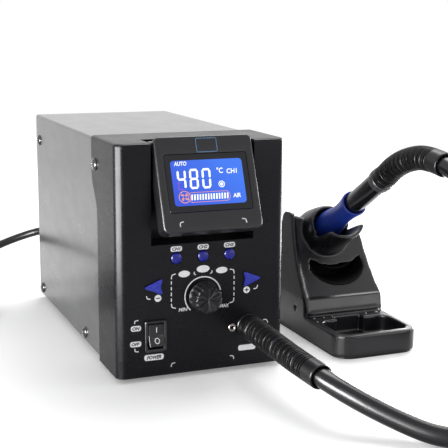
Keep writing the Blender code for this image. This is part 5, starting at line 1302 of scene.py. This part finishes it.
@dataclass
class Display:
    """The tilting display: a moulded shell round its window, and what the lit panel shows."""
    half: float = 0.0332
    length: float = 0.0615
    depth: float = 0.012
    wall: float = 0.0018
    corner: float = 0.004
    edge: float = 0.0013
    window_half: float = 0.028
    window: tuple[float, float] = (0.0116, 0.0491)
    tilt: float = 21.6
    top: Point = (0.0, 0.001693, 0.158675)
    segments: tuple[str, ...] = ("bcfg", "abcdefg", "abcdef")
    digits: tuple[float, ...] = (-0.0178, -0.0096, -0.00125)
    digit: tuple[float, float, float] = (0.0030, 0.0065, 0.0014)
    words: tuple[tuple[str, tuple[float, float], float, float, float], ...] = (
        ("AUTO", (-0.0175, -0.0178), 0.0027, 0.0083, 0.10), ("°C", (0.0084, -0.0232), 0.0038, 0.0043, 0.10),
        ("CH1", (0.0165, -0.0239), 0.0032, 0.0071, 0.10), ("AIR", (0.0178, -0.0398), 0.0028, 0.0052, 0.15))
    fan_at: tuple[float, float] = (-0.0172, -0.0392)
    fan_reach: float = 0.0018
    corner_marks: tuple[tuple[tuple[float, float], ...], ...] = (
        ((-0.0225, -0.0577), (-0.0222, -0.0553), (-0.0200, -0.0546)),
        ((0.0190, -0.0551), (0.0214, -0.0556), (0.0219, -0.0579)))
    shown: float = -0.00008
    thick: float = 0.00005

    def plane(self) -> Array:
        """The shell's front: x across it, y upwards from its top edge, z out of it."""
        return seat(self.top, Facing.FRONT, math.radians(self.tilt))

    def build_shell(self, face: Array) -> None:
        """The shell: rings from the outer back edge over the rounded front edge to the window's rim, down
        its side and back along the inner wall."""
        middle = (0.0, -self.length / 2)
        low = self.length / 2
        rows = [(rounded_loop(self.half, low, self.corner, 8, middle), -self.depth)]
        for a in np.linspace(0.0, math.pi / 2, 7):
            back = self.edge * (1 - math.cos(a))
            rows.append((rounded_loop(self.half - back, low - back, self.corner - back, 8, middle),
                         -self.edge * (1 - math.sin(a))))
        centre = (0.0, -(self.window[0] + self.window[1]) / 2)
        tall = (self.window[1] - self.window[0]) / 2
        for out, height in ((0.0004, 0.0), (0.0001, -0.0001), (0.0, -0.0004), (0.0, -self.wall)):
            rows.append((rounded_loop(self.window_half + out, tall + out, 0.0015 + out, 8, centre), height))
        inner = (self.half - self.wall, low - self.wall, self.corner - self.wall)
        rows.append((rounded_loop(*inner, 8, middle), -self.wall))
        rows.append((rounded_loop(*inner, 8, middle), -self.depth))
        shell = Surface().ring(np.stack([lifted(outline, height) for outline, height in rows]), face)
        for side in (-1, 1):
            ear = rounded_loop(0.0030, 0.0070, 0.0028, 6, (-self.depth - 0.0004, -0.0066))
            turn = face.copy()
            turn[:3, 0], turn[:3, 2] = face[:3, 2], -face[:3, 0]
            start = side * (self.half - 0.0018)
            shell.slab(ear, -start - 0.0017, -start + 0.0017, 0.0003, turn)
        shell.piece("display_shell", DISPLAY_MOULDING, Body.DISPLAY, ("display_frame",))
        pane = rounded_loop(self.window_half - 0.0003, tall - 0.0003, 0.0012, 6, centre)
        Surface().slab(pane, -0.0015, -0.0001, 0.0001, face).piece(
            "display_pane", LIT_WINDOW, Body.DISPLAY, ("display_window",), plane=face)
        dress(DISPLAY_MOULDING, "display_back")

    def add_digit(self, surface: Surface, at: float, lit: str, face: Array) -> None:
        """One figure of seven bars: each bar is a long hexagon whose ends taper to a point."""
        wide, tall, stroke = self.digit
        centre = -0.0279
        slots = {"a": (0, 2, True), "g": (0, 0, True), "d": (0, -2, True), "f": (-1, 1, False),
                 "b": (1, 1, False), "e": (-1, -1, False), "c": (1, -1, False)}
        for name in lit:
            x, y, level = slots[name]
            long = (wide if level else tall / 2) - 0.00055
            half = stroke / 2
            bar = np.array(((long, -0.0), (long - half, half), (half - long, half), (-long, 0.0),
                            (half - long, -half), (long - half, -half)))
            bar = bar if level else bar[:, ::-1] * np.array((1, -1))
            shift = np.array((at + x * (wide - half), centre + y * (tall - half) / 2))
            bar += shift
            bar[:, 0] += 0.05 * (bar[:, 1] - centre)
            surface.slab(bar, self.shown, self.shown + self.thick, INK_EDGE, face)

    def build_readout(self, face: Array) -> None:
        """What the lit panel shows."""
        white, orange, faint = Surface(), Surface(), Surface()
        high = self.shown + self.thick
        for at, lit in zip(self.digits, self.segments):
            self.add_digit(white, at, lit, face)
        for text, at, tall, wide, shear in self.words:
            white.letters(text, at, tall, wide, face, shear, 0.02, self.shown, self.thick)
        white.ribbon(ellipse(0.0019, 0.0019, 32, (0.0085, -0.0321)), 0.0005, self.shown, high, face, True)
        white.slab(ellipse(0.0011, 0.0011, 24, (0.0085, -0.0321)), self.shown, high, INK_EDGE, face)
        for i in range(14):
            x = -0.0126 + i * 0.00184
            bar = np.array(((x - 0.0005, -0.0415), (x + 0.0005, -0.0415), (x + 0.0009, -0.0378),
                            (x - 0.0001, -0.0378)))
            white.slab(bar, self.shown, high, INK_EDGE, face)
        white.piece("readout_white", LIT_WHITE, Body.DISPLAY)
        x, y = self.fan_at
        orange.ribbon(ellipse(0.0037, 0.0037, 40, (x, y)), 0.0005, self.shown, high, face, True)
        for i in range(4):
            a = math.pi / 4 + i * math.pi / 2
            blade = ellipse(0.0012, 0.0007, 20)
            c, s = math.cos(a + 0.4), math.sin(a + 0.4)
            blade = blade @ np.array(((c, s), (-s, c)))
            blade += np.array((x + self.fan_reach * math.cos(a), y + self.fan_reach * math.sin(a)))
            orange.slab(blade, self.shown, high, INK_EDGE, face)
        outline = rounded_loop(0.0140, 0.0031, 0.0026, 6, (-0.0008, -0.0397))
        orange.ribbon(outline, 0.00035, self.shown, high, face, True)
        orange.piece("readout_orange", LIT_ORANGE, Body.DISPLAY)
        for x, y, wide, tall in ((-0.0203, -0.0323, 0.0003, 0.0022), (-0.0186, -0.0343, 0.0014, 0.0003),
                                 (-0.0196, -0.0300, 0.0008, 0.0003)):
            faint.slab(rounded_loop(wide, tall, 0.0002, 2, (x, y)), self.shown, high, INK_EDGE, face)
        faint.piece("readout_faint", LIT_FAINT, Body.DISPLAY)

    def build_marks(self, face: Array) -> None:
        """The lines printed on the shell above and below the window."""
        above, below = Surface(), Surface()
        outline = rounded_loop(0.00695, 0.00445, 0.0009, 4, (0.00165, -0.00635))
        above.ribbon(outline, 0.0004, INK_BACK, INK_FRONT, face, True)
        for points in self.corner_marks:
            below.inked(points, face)
        above.piece("display_frame_mark", GREY_BLUE_INK, Body.DISPLAY)
        below.piece("display_marks", WHITE_INK, Body.DISPLAY)

    def build(self) -> None:
        """Makes the display."""
        face = self.plane()
        self.build_shell(face)
        self.build_readout(face)
        self.build_marks(face)


# The controls

@dataclass
class Controls:
    """Keys, knob, rocker switch and the small socket in the panel."""
    pitch: float = 0.01835
    channel_z: float = 0.0807
    key_radius: float = 0.00365
    key_out: float = 0.0013
    arrow: tuple[float, float, float, float, float] = (0.0401, 0.0284, 0.0631, 0.0048, 0.0014)
    knob_z: float = 0.054
    knob_radius: float = 0.0103
    knob_gap: float = 0.0009
    flutes: int = 18
    facets: int = 9
    facet_rise: float = 0.0008
    switch: tuple[float, float] = (-0.0327, 0.0308)
    switch_half: tuple[float, float] = (0.0075, 0.0105)
    rim: float = 0.0022
    rocker_tilt: float = 11.0
    socket: tuple[float, float] = (0.0206, 0.0307)
    pivot: float = 0.0015

    def build_keys(self) -> None:
        """Three round keys with domed tops and two pointed keys with hollowed backs."""
        r, out = self.key_radius, self.key_out
        dome = [(r * math.sin(a), out * 0.30 + out * 0.95 * math.cos(a)) for a in np.linspace(0, 1.5, 11)]
        profile = np.array([(0.0, dome[0][1])] + dome[1:] + [(r, 0.0), (r, -0.0045), (0.0, -0.0045)])
        for i, body in enumerate((Body.BUTTON_1, Body.BUTTON_2, Body.BUTTON_3)):
            place = seat(((i - 1) * self.pitch, 0.0, self.channel_z), Facing.FRONT)
            Surface().sheet(moved(turned(profile, 48), place)).piece(
                f"round_key_{i + 1}", KEY_BLUE, body, (f"channel_button_{i + 1}",))
        tip, base, z, high, hollow = self.arrow
        right = np.array(((tip, 0.0), (base, high), (base + hollow, 0.0), (base, -high)))
        for name, side, body in (("left", -1, Body.ARROW_LEFT), ("right", 1, Body.ARROW_RIGHT)):
            outline = corner_rounded(right * np.array((side, 1)), 0.0012, 5)
            outline = outline[::-1] if side > 0 else outline
            centre = outline.mean(0)
            place = seat((centre[0], 0.0, z), Facing.FRONT)
            Surface().slab(outline - np.array((centre[0], 0.0)), -0.0040, out, 0.0004, place, 0.0001).piece(
                f"arrow_key_{name}", ARROW_BLUE, body, (f"arrow_button_{name}",))

    def build_knob(self) -> None:
        """The fluted knob.

        Its radius shrinks with height, and between the skirt and the top it follows a wave that dips once
        for each flute. The top is dished, its edge is a quarter of an ellipse, and within it the height rises
        and falls in straight facets that all meet in the middle.
        """
        sides = self.flutes * 10
        turn = np.linspace(0.0, math.tau, sides, endpoint=False)[None, :]
        rows = [(0.90, 0.0, 0.0), (1.0, 0.0003, 0.0), (1.0, 0.0011, 0.0), (0.965, 0.0014, 0.0),
                (0.955, 0.0020, 1.0), (0.92, 0.0092, 1.0), (0.90, 0.0102, 1.0), (0.86, 0.0108, 0.7),
                (0.80, 0.0112, 0.2), (0.76, 0.0110, 0.0), (0.70, 0.0106, 0.0), (0.55, 0.0103, 0.0),
                (0.38, 0.0100, 0.0), (0.20, 0.0098, 0.0), (0.02, 0.0096, 0.0)]
        share, height, cut = (np.array(column)[:, None] for column in zip(*rows))
        wave = np.clip(0.5 - 0.5 * np.cos(self.flutes * turn), 0.0, 1.0) ** 0.7
        radius = self.knob_radius * share - 0.0007 * cut * wave
        facet = np.abs(((turn * self.facets / math.tau) % 1.0) - 0.5) * 2.0
        height = height + self.facet_rise * facet * np.where(share < 0.75, (share / 0.70) ** 0.7, 0.0)
        skin = np.stack((radius * np.cos(turn), radius * np.sin(turn), height + self.knob_gap), -1)
        place = seat((0.0, 0.0, self.knob_z), Facing.FRONT)
        knob = Surface().closed(skin, place)
        knob.piece("fluted_knob", KNOB_MOULDING, Body.KNOB, ("knob",), sharp=32)

    def rocker_out(self, height: Array) -> Array:
        """How far the rocker's face stands out at a height: least in the middle, more towards both ends,
        by a power of the height a little over one."""
        return 0.0034 + 0.0016 * (np.abs(height) / 0.00705) ** 1.25

    def build_switch(self) -> None:
        """The rocker in its bezel, with the two signs on its halves."""
        x, z = self.switch
        wide, tall = self.switch_half
        place = seat((x, 0.0, z), Facing.FRONT)
        outer = [(0.0, 0.0001), (0.0, 0.0013), (0.00015, 0.00172), (0.0005, 0.002)]
        inner = [(self.rim - 0.0006, 0.0019), (self.rim - 0.0001, 0.0015), (self.rim, 0.0010),
                 (self.rim, -0.012)]
        rows = [(rounded_loop(wide - d, tall - d, max(0.0012 - 0.4 * d, 0.0004), 5), h)
                for d, h in outer + inner + [(0.0012, -0.012)]]
        frame_skin = np.stack([lifted(outline, height) for outline, height in rows])
        Surface().ring(frame_skin, place).piece("switch_bezel", SWITCH_MOULDING, Body.STATION,
                                                ("switch_frame",))
        height = np.linspace(-0.00705, 0.00705, 25)
        face = np.stack((height, self.rocker_out(height)), 1)
        back = np.array(((0.0072, 0.0030), (0.0068, -0.0010), (0.0047, -0.0055), (0.0, -0.0075),
                         (-0.0047, -0.0055), (-0.0068, -0.0010), (-0.0072, 0.0030)))
        outline = np.concatenate((face, back))
        lean = seat((x, self.pivot, z), Facing.FRONT, math.radians(self.rocker_tilt))
        side = lean.copy()
        side[:3, 0], side[:3, 1], side[:3, 2] = lean[:3, 1], lean[:3, 2], lean[:3, 0]
        Surface().slab(outline[::-1], -0.0050, 0.0050, 0.0004, side).piece(
            "rocker_cap", SWITCH_MOULDING, Body.ROCKER, ("switch_rocker",), sharp=30)
        signs = Surface()
        flat = np.eye(4)
        bar = rounded_loop(0.00028, 0.0017, 0.0002, 3, (0.0002, 0.0036))
        signs.slab(bar, 0.00003, 0.00009, INK_EDGE, flat)
        signs.ribbon(ellipse(0.0015, 0.0017, 36, (0.0002, -0.0035)), 0.0005, 0.00003, 0.00009, flat, True)
        for points in signs.points:
            points[:, 2] += self.rocker_out(points[:, 1])
        signs.points = [moved(points, lean) for points in signs.points]
        signs.piece("rocker_signs", WHITE_INK, Body.ROCKER)

    def build_socket(self) -> None:
        """The small socket: a turned nut with a chamfered mouth."""
        rim = np.array(((0.0011, -0.008), (0.0011, 0.0009), (0.0017, 0.0013), (0.0024, 0.0013),
                        (0.00275, 0.0009), (0.00275, 0.0001), (0.0020, 0.0001), (0.0020, -0.008)))
        x, z = self.socket
        place = seat((x, 0.0, z), Facing.FRONT)
        Surface().ring(turned(bevelled(rim, 0.00025), 48), place).piece(
            "socket_nut", NICKEL_SOCKET, Body.STATION, ("ground_socket",))

    def build(self) -> None:
        """Makes the controls."""
        self.build_keys()
        self.build_knob()
        self.build_switch()
        self.build_socket()


# The stand and the handle

@dataclass
class HandleStand:
    """The moulded stand with its cup, pocket and tray, the studs on its ledge, and its sole."""
    middle: float = 0.130
    studs: tuple[tuple[float, float], ...] = (
        (0.1026, 0.0412), (0.1105, 0.0414), (0.1178, 0.0418), (0.1454, 0.0412), (0.1538, 0.0410),
        (0.1009, 0.0327))
    stud: float = 0.0010
    ledge: float = 0.0168
    seam_at: float = 0.0435
    seam_heights: tuple[float, float] = (0.0020, 0.0165)
    band: tuple[tuple[float, float], ...] = ((0.0476, 0.0300), (0.0446, 0.0190), (0.0480, 0.0165))
    band_half: float = 0.0316
    roll: float = 0.0026
    roll_at: tuple[float, float] = (0.0466, 0.0190)
    roll_half: float = 0.0298
    roll_fade: float = 0.0024
    cup: float = 0.0158
    cup_wall: float = 0.0028
    cup_shift: tuple[float, float] = (-0.0008, -0.0015)
    cup_foot: float = 0.0205
    cup_rim: float = -0.0405
    cup_root: float = -0.0585
    lip_rise: float = 0.0210
    lip: tuple[float, float, float] = (279.0, 66.0, 16.0)
    lip_flare: float = 0.0030
    notch: tuple[float, float] = (8.0, 0.0028)
    bore: float = 0.0084
    slope: tuple[tuple[float, float], ...] = ((0.0468, 0.0298), (0.0715, 0.055), (0.080, 0.086))
    recess: tuple[float, float] = (0.0024, 0.0026)
    side: float = 0.0293
    taper: float = 0.078
    pocket: tuple[float, float, float, float, float] = (0.0034, 0.0433, 0.0219, 0.0062, 0.0064)
    ridge: tuple[tuple[float, float], ...] = (
        (-0.040, 0.0890), (-0.0278, 0.0882), (-0.0262, 0.0868), (-0.0246, 0.0874), (-0.0228, 0.0850),
        (-0.0150, 0.0822), (0.0, 0.0792), (0.015, 0.0745), (0.040, 0.0640))
    pocket_deep: float = 0.0820
    # Thickness and set-back of the pocket's sheet of painted shade; the pocket is cut deeper by that
    # thickness.
    shade_sheet: float = 0.0005
    shade_sheet_start: float = 0.0012
    voxel: float = 0.0008
    smoothing: tuple[float, int] = (0.5, 8)

    def cup_skin(self) -> Array:
        """The cup as a closed ring of rows: up the outside, over the rim, down the inside to the floor,
        and down the bore.

        The rim stands at one height but for a lip on the lower side, which rises along a smooth step and
        flares with the cube of its height, and for a notch shaped like a bell at each end of the lip.
        """
        sides = 120
        turn = np.linspace(0.0, math.tau, sides, endpoint=False)[None, :]
        middle, reach, blur = self.lip
        away = np.abs((np.degrees(turn) - middle + 180.0) % 360.0 - 180.0)
        lip = eased(np.clip((reach - away) / blur, 0.0, 1.0))
        notch_reach, notch_depth = self.notch
        notch = np.exp(-((away - reach) / notch_reach) ** 2) * notch_depth
        rim = self.cup_rim - notch + self.lip_rise * lip
        share = np.linspace(0.0, 1.0, 16)[:, None]
        high = self.cup_root + (rim - self.cup_root) * share
        flare = self.lip_flare * lip * share ** 3
        outer = self.cup + (self.cup_foot - self.cup) * (1.0 - share) ** 0.8 + flare
        arc = np.linspace(0.0, math.pi, 7)[1:-1, None]
        half = self.cup_wall / 2
        over = outer[-1] - half + half * np.cos(arc), rim + half * np.sin(arc)
        inner = self.cup - self.cup_wall + flare[::-1]
        down = high[::-1]
        floor = np.stack((np.full(sides, self.bore), np.full(sides, self.bore)))
        deep = np.stack((np.full(sides, self.cup_root + 0.004), np.full(sides, self.cup_root)))
        radius = np.concatenate((outer, over[0], inner[:-3], floor))
        height = np.concatenate((high, over[1], down[:-3], deep))
        return np.stack((radius * np.cos(turn), radius * np.sin(turn), height), -1)

    def slope_cutter(self) -> Surface:
        """What clears the hollow slope: a quadratic curve set back more and more, from just inside the left
        wall to beyond the right side."""
        low, bend, high = (np.array([point]) for point in self.slope)
        curve = pulled(low, bend, high, 14)
        curve[:, 0] += self.recess[0] + (self.recess[1] - self.recess[0]) * np.linspace(0.0, 1.0, 15)
        outline = np.concatenate((curve, ((curve[-1, 0], 0.12), (0.030, 0.12), (0.030, curve[0, 1]))))
        y, z = outline.T
        left = self.middle - self.side + self.taper * (z - low[0, 1])
        right = np.full(len(y), self.middle + 0.045)
        return Surface().block(ORIGIN + np.stack((np.stack((left, y, z), 1), np.stack((right, y, z), 1))))

    def pocket_outline(self, less: float = 0.0) -> tuple[Array, Array]:
        """The kidney-shaped outline of the pocket.

        At each share of its width the middle rises with the share's square, and the half height follows a
        fourth-power round end, fuller above towards the ends.

        Args:
            less: How much narrower and lower than the pocket the outline is, on each side.

        Returns:
            The x and z of its points.
        """
        x0, z0, wide, tall, rise = self.pocket
        turn = np.linspace(0.0, math.tau, 72, endpoint=False)
        share = np.sign(np.cos(turn)) * np.abs(np.cos(turn)) ** 0.6
        half = (tall - less) * (1 - share ** 4) ** 0.25
        up = np.sin(turn) > 0
        z = z0 + rise * share ** 2 + np.where(up, half * (0.60 + 0.60 * share ** 2), -half)
        return self.middle + x0 + (wide - less) * share, z

    def pocket_cutter(self) -> Surface:
        """The pocket's hollow, straight back from the slope."""
        x, z = self.pocket_outline()
        return Surface().block(ORIGIN + np.stack([np.stack((x, np.full_like(x, y), z), 1)
                                                  for y in (0.040, self.pocket_deep + self.shade_sheet)]))

    def build_painted_shade(self) -> None:
        """Painted shade in the pocket: a near-black matt sheet from just behind the slope to the pocket's
        end, standing in for the shade that falls in the pocket's hollow.
        """
        (y0, z0), (y1, z1) = self.slope[:2]
        rows = []
        for less, back in ((-self.shade_sheet, self.pocket_deep + self.shade_sheet), (self.shade_sheet, self.pocket_deep)):
            x, z = self.pocket_outline(less)
            front = y0 + (z - z0) * (y1 - y0) / (z1 - z0) + self.shade_sheet_start
            ends = [np.stack((x, y, z), 1) for y in (np.full_like(x, back), front)]
            rows += ends if less < 0 else ends[::-1]
        Surface().closed(ORIGIN + np.stack(rows)).piece("pocket_painted_shade", PAINTED_POCKET_SHADE, Body.STATION, sharp=40)

    def ridge_cutter(self) -> Surface:
        """What clears the air above the sloping top, whose left end is stepped."""
        outline = np.array(self.ridge + ((0.040, 0.13), (-0.040, 0.13)))
        x, z = outline.T
        return Surface().block(ORIGIN + np.stack([np.stack((self.middle + x, np.full(len(x), y), z), 1)
                                                  for y in (0.060, 0.130)]))

    def joined(self) -> Surface:
        """The stand's solids, carved, with the cup, the roll and what fills the seam and the sloped band."""
        x, y, z = HANDLE_AT
        across, down = self.cup_shift
        place = seat((x + across, y, z + down), Facing.FRONT, math.radians(HANDLE_TILT))
        clear = self.cup - self.cup_wall + 0.0002
        inside = turned(np.array(((0.0, self.cup_root + 0.004), (clear, self.cup_root + 0.004), (clear, 0.03),
                                  (0.0, 0.03))), 64)
        cutters = [self.slope_cutter(), self.pocket_cutter(), self.ridge_cutter(),
                   Surface().sheet(moved(inside, place))]
        still = np.eye(4)
        body = Surface().mesh(carved(clean_copy("stand_body"), cutters), still)
        body.mesh(clean_copy("stand_tray"), still)
        body.ring(self.cup_skin(), place)
        seam = rounded_loop(0.0320, 0.0008, 0.0003, 2, (self.middle, self.seam_at))
        body.block(ORIGIN + np.stack([lifted(seam, height) for height in self.seam_heights]))
        band = np.array(self.band)
        body.block(ORIGIN + np.stack([np.stack((np.full(3, self.middle + x), *band.T), 1)
                                      for x in (-self.band_half, self.band_half)]))
        run = np.linspace(-self.roll_half, self.roll_half, 30)
        end = np.sqrt(np.clip((self.roll_half + 0.0001 - np.abs(run)) / self.roll_fade, 0.0, 1.0))
        y, z = self.roll_at
        line = ORIGIN + np.stack((self.middle + run, np.full(30, y), np.full(30, z)), 1)
        return body.closed(tube(line, self.roll * end, 24))

    def build_moulding(self) -> None:
        """The whole stand as one moulding: an even skin round all that was joined, smoothed a little."""
        mesh = self.joined().plain("stand_moulding")
        tidy_mesh(mesh)
        made = stood("stand_moulding", mesh)
        skin = made.modifiers.new("skin", "REMESH")
        skin.mode, skin.voxel_size, skin.use_smooth_shade = "VOXEL", self.voxel, True
        soft = made.modifiers.new("soft", "SMOOTH")
        soft.factor, soft.iterations = self.smoothing
        mesh = baked(made)
        mesh.materials.clear()
        mesh.materials.append(STAND_MOULDING.material())
        mesh.shade_smooth()
        made = stood("stand_moulding", mesh)
        settle(made, Body.STATION, ("stand_body", "stand_tray"))

    def build_studs(self) -> None:
        """The small domed studs on the ledge: a quarter circle, a little flattened, turned round."""
        studs = Surface()
        turn = np.linspace(0.0, math.pi / 2, 6)
        profile = np.stack((self.stud * np.cos(turn), self.stud * 0.8 * np.sin(turn)), 1)
        profile = np.concatenate((profile[:1] - np.array(((0.0, 0.0008),)), profile))
        for x, y in self.studs:
            studs.sheet(moved(turned(profile, 20), seat((x, y, self.ledge - 0.0001))))
        studs.piece("stand_studs", STUD_MOULDING, Body.STATION)

    def build(self) -> None:
        """Makes the stand and its sole."""
        self.build_moulding()
        # The pocket's sheet of painted shade.
        self.build_painted_shade()
        self.build_studs()
        dress(SOFT_RUBBER, "stand_base")


@dataclass
class Handle:
    """The handle: its rubber collar, moulded tube, heater and nozzle, and the cuff that the hose leaves."""
    collar: tuple[tuple[float, float], ...] = (
        (0.0068, -0.0520), (0.0096, -0.0520), (0.0103, -0.0510), (0.0103, -0.0410), (0.0094, -0.0340),
        (0.0080, -0.0260), (0.0077, -0.0200), (0.0080, -0.0120), (0.0090, -0.0040), (0.0094, -0.0018),
        (0.0094, -0.0002), (0.0090, 0.0002), (0.0079, 0.0), (0.0079, -0.006), (0.0068, -0.006))
    tube_radius: float = 0.0076
    tube_end: float = 0.042

    def build(self) -> None:
        """Makes the handle."""
        place = seat(HANDLE_AT, Facing.FRONT, math.radians(HANDLE_TILT))
        Surface().ring(turned(bevelled(np.array(self.collar), 0.0022, 5), 72), place).piece(
            "grip_collar", COLLAR_RUBBER, Body.HANDLE, ("handle_collar",), sharp=40)
        r, end = self.tube_radius, self.tube_end
        skin = np.array(((0.0, -0.006), (r, -0.006), (r, end - 0.0008), (r - 0.0008, end), (0.0, end)))
        Surface().sheet(moved(turned(bevelled(skin, 0.0006), 64), place)).piece(
            "grip_tube", TUBE_MOULDING, Body.HANDLE, ("handle_tube",))
        cuff = np.array(((0.0070, end - 0.0030), (0.0084, end - 0.0030), (0.0087, end - 0.0020),
                         (0.0087, end + 0.0022), (0.0082, end + 0.0030), (0.0070, end + 0.0030)))
        Surface().ring(turned(bevelled(cuff, 0.0005), 64), place).piece(
            "hose_cuff", CUFF_MOULDING, Body.HANDLE)
        dress(BARE_STEEL, "heater_tube", "nozzle")


# Studio

@dataclass
class Studio:
    """A pale floor, soft lamps and the camera at the photograph's view."""
    azimuth: float = -22.237
    elevation: float = 11.147
    roll: float = 0.42
    lens: float = 84.43
    eye: Point = (-0.23789, -0.61701, 0.23211)
    fade: tuple[float, float] = (0.7, 1.3)
    glow: float = 0.22
    gloss_share: float = 0.3
    floor_half: float = 6.0
    object_light: float = 0.55
    lamps: tuple[tuple[str, Point, Point, tuple[float, float], float, bool], ...] = (
        ("overhead_softbox", (0.45, 0.55, 1.25), (0.0, 0.05, 0.05), (0.9, 0.9), 16.0, False),
        ("front_left_strip", (-0.85, -0.75, 0.45), (-0.05, 0.0, 0.08), (0.22, 0.9), 3.2, False),
        ("right_panel", (1.0, -0.35, 0.45), (0.1, 0.0, 0.05), (0.5, 0.8), 4.0, False),
        ("left_card", (-0.37, -0.20, 0.085), (-0.05, -0.12, 0.085), (0.40, 0.16), 9.0, True),
        ("right_near_card", (0.34, 0.14, 0.035), (0.0, 0.06, 0.035), (0.30, 0.07), 1.6, True),
        ("right_card", (0.62, 0.22, 0.14), (0.10, 0.0, 0.02), (0.4, 0.24), 5.0, True),
        ("front_right_card", (0.53, -0.78, 0.20), (0.08, -0.03, 0.03), (0.34, 0.22), 1.0, True))

    def build_camera(self) -> None:
        """Stands the camera at its eye, looking along its azimuth and elevation with a slight roll."""
        a, e, r = (math.radians(v) for v in (self.azimuth, self.elevation, self.roll))
        back = np.array((math.sin(a) * math.cos(e), -math.cos(a) * math.cos(e), math.sin(e)))
        right = np.array((math.cos(a), math.sin(a), 0.0))
        up = np.cross(back, right)
        matrix = np.eye(4)
        matrix[:3, 0] = math.cos(r) * right + math.sin(r) * up
        matrix[:3, 1] = -math.sin(r) * right + math.cos(r) * up
        matrix[:3, 2] = back
        matrix[:3, 3] = ORIGIN + np.array(self.eye)
        data = bpy.data.cameras.new("camera")
        data.lens = self.lens
        data.sensor_width = 36.0
        data.clip_start = 0.01
        camera = stood("camera", data)
        camera.matrix_world = Matrix(matrix.tolist())
        bpy.context.scene.camera = camera

    def build_lamp(self, name: str, at: Point, towards: Point, size: tuple[float, float],
                   power: float, card: bool) -> None:
        """A soft rectangular lamp that looks from its place towards a point; a card shows in gloss alone."""
        data = bpy.data.lights.new(name, "AREA")
        data.shape = "RECTANGLE"
        data.size, data.size_y = size
        data.energy = power
        lamp = stood(name, data)
        lamp.visible_diffuse = not card
        place = Vector(at)
        lamp.location = place
        lamp.rotation_euler = (Vector(towards) - place).to_track_quat("-Z", "Y").to_euler()

    def build_floor(self) -> None:
        """A wide pale floor."""
        corners = np.array((((-1.0, -1.0, 0.0), (1.0, -1.0, 0.0)), ((-1.0, 1.0, 0.0), (1.0, 1.0, 0.0))))
        mesh = Surface().sheet(self.floor_half * corners, around=False).plain("floor")
        made = stood("floor", mesh)
        mixer = Mixer(bpy.data.materials.new("floor_paint"))
        tone = mixer.blend(mixer.noise(0.4, 2.0), (0.90, 0.90, 0.905), (0.93, 0.93, 0.935))
        x, y = (mixer.node("ShaderNodeSeparateXYZ", {}, {0: mixer.place}, axis) for axis in "XY")
        far = (x * x + y * y) ** 0.5
        camera, gloss, glass = mixer.rays()
        seen = camera.math("MAXIMUM", gloss * self.gloss_share).math("MAXIMUM", glass)
        mixer.set(Base_Color=tone, Roughness=0.6, Specular_IOR_Level=0.2,
                  Alpha=far.smooth(*self.fade, 1.0, 0.0),
                  Emission_Color=mixer.blend(seen, (0.0, 0.0, 0.0), (self.glow, self.glow, self.glow)),
                  Emission_Strength=1.0)
        mesh.materials.append(mixer.owner)

    def build_world(self) -> None:
        """A white surround for the eye, gloss and glass, and a dimmer one that lights the object."""
        mixer = Mixer(bpy.data.worlds.new("surround"), "Background")
        bpy.context.scene.world = mixer.owner
        camera, gloss, glass = mixer.rays()
        seen = camera.math("MAXIMUM", gloss).math("MAXIMUM", glass)
        strength = mixer.node("ShaderNodeMapRange", {}, {0: seen, 3: self.object_light, 4: 1.0})
        mixer.set(Color=(1.0, 1.0, 1.0, 1.0), Strength=strength)

    def build(self) -> None:
        """Makes the floor, the surround, the lamps and the camera."""
        self.build_camera()
        self.build_world()
        self.build_floor()
        for lamp in self.lamps:
            self.build_lamp(*lamp)
        bpy.context.scene.view_settings.view_transform = "Standard"


def main() -> None:
    """Builds the station piece by piece, then the studio, and notes the sizes."""
    logging.basicConfig(level=logging.INFO, format="%(message)s")
    for part in (ControlBox(), Prints(), Display(), Controls(), HandleStand(), Handle(), Hose(),
                 MainsLead(), Studio()):
        part.build()


if __name__ == "__main__":
    main()
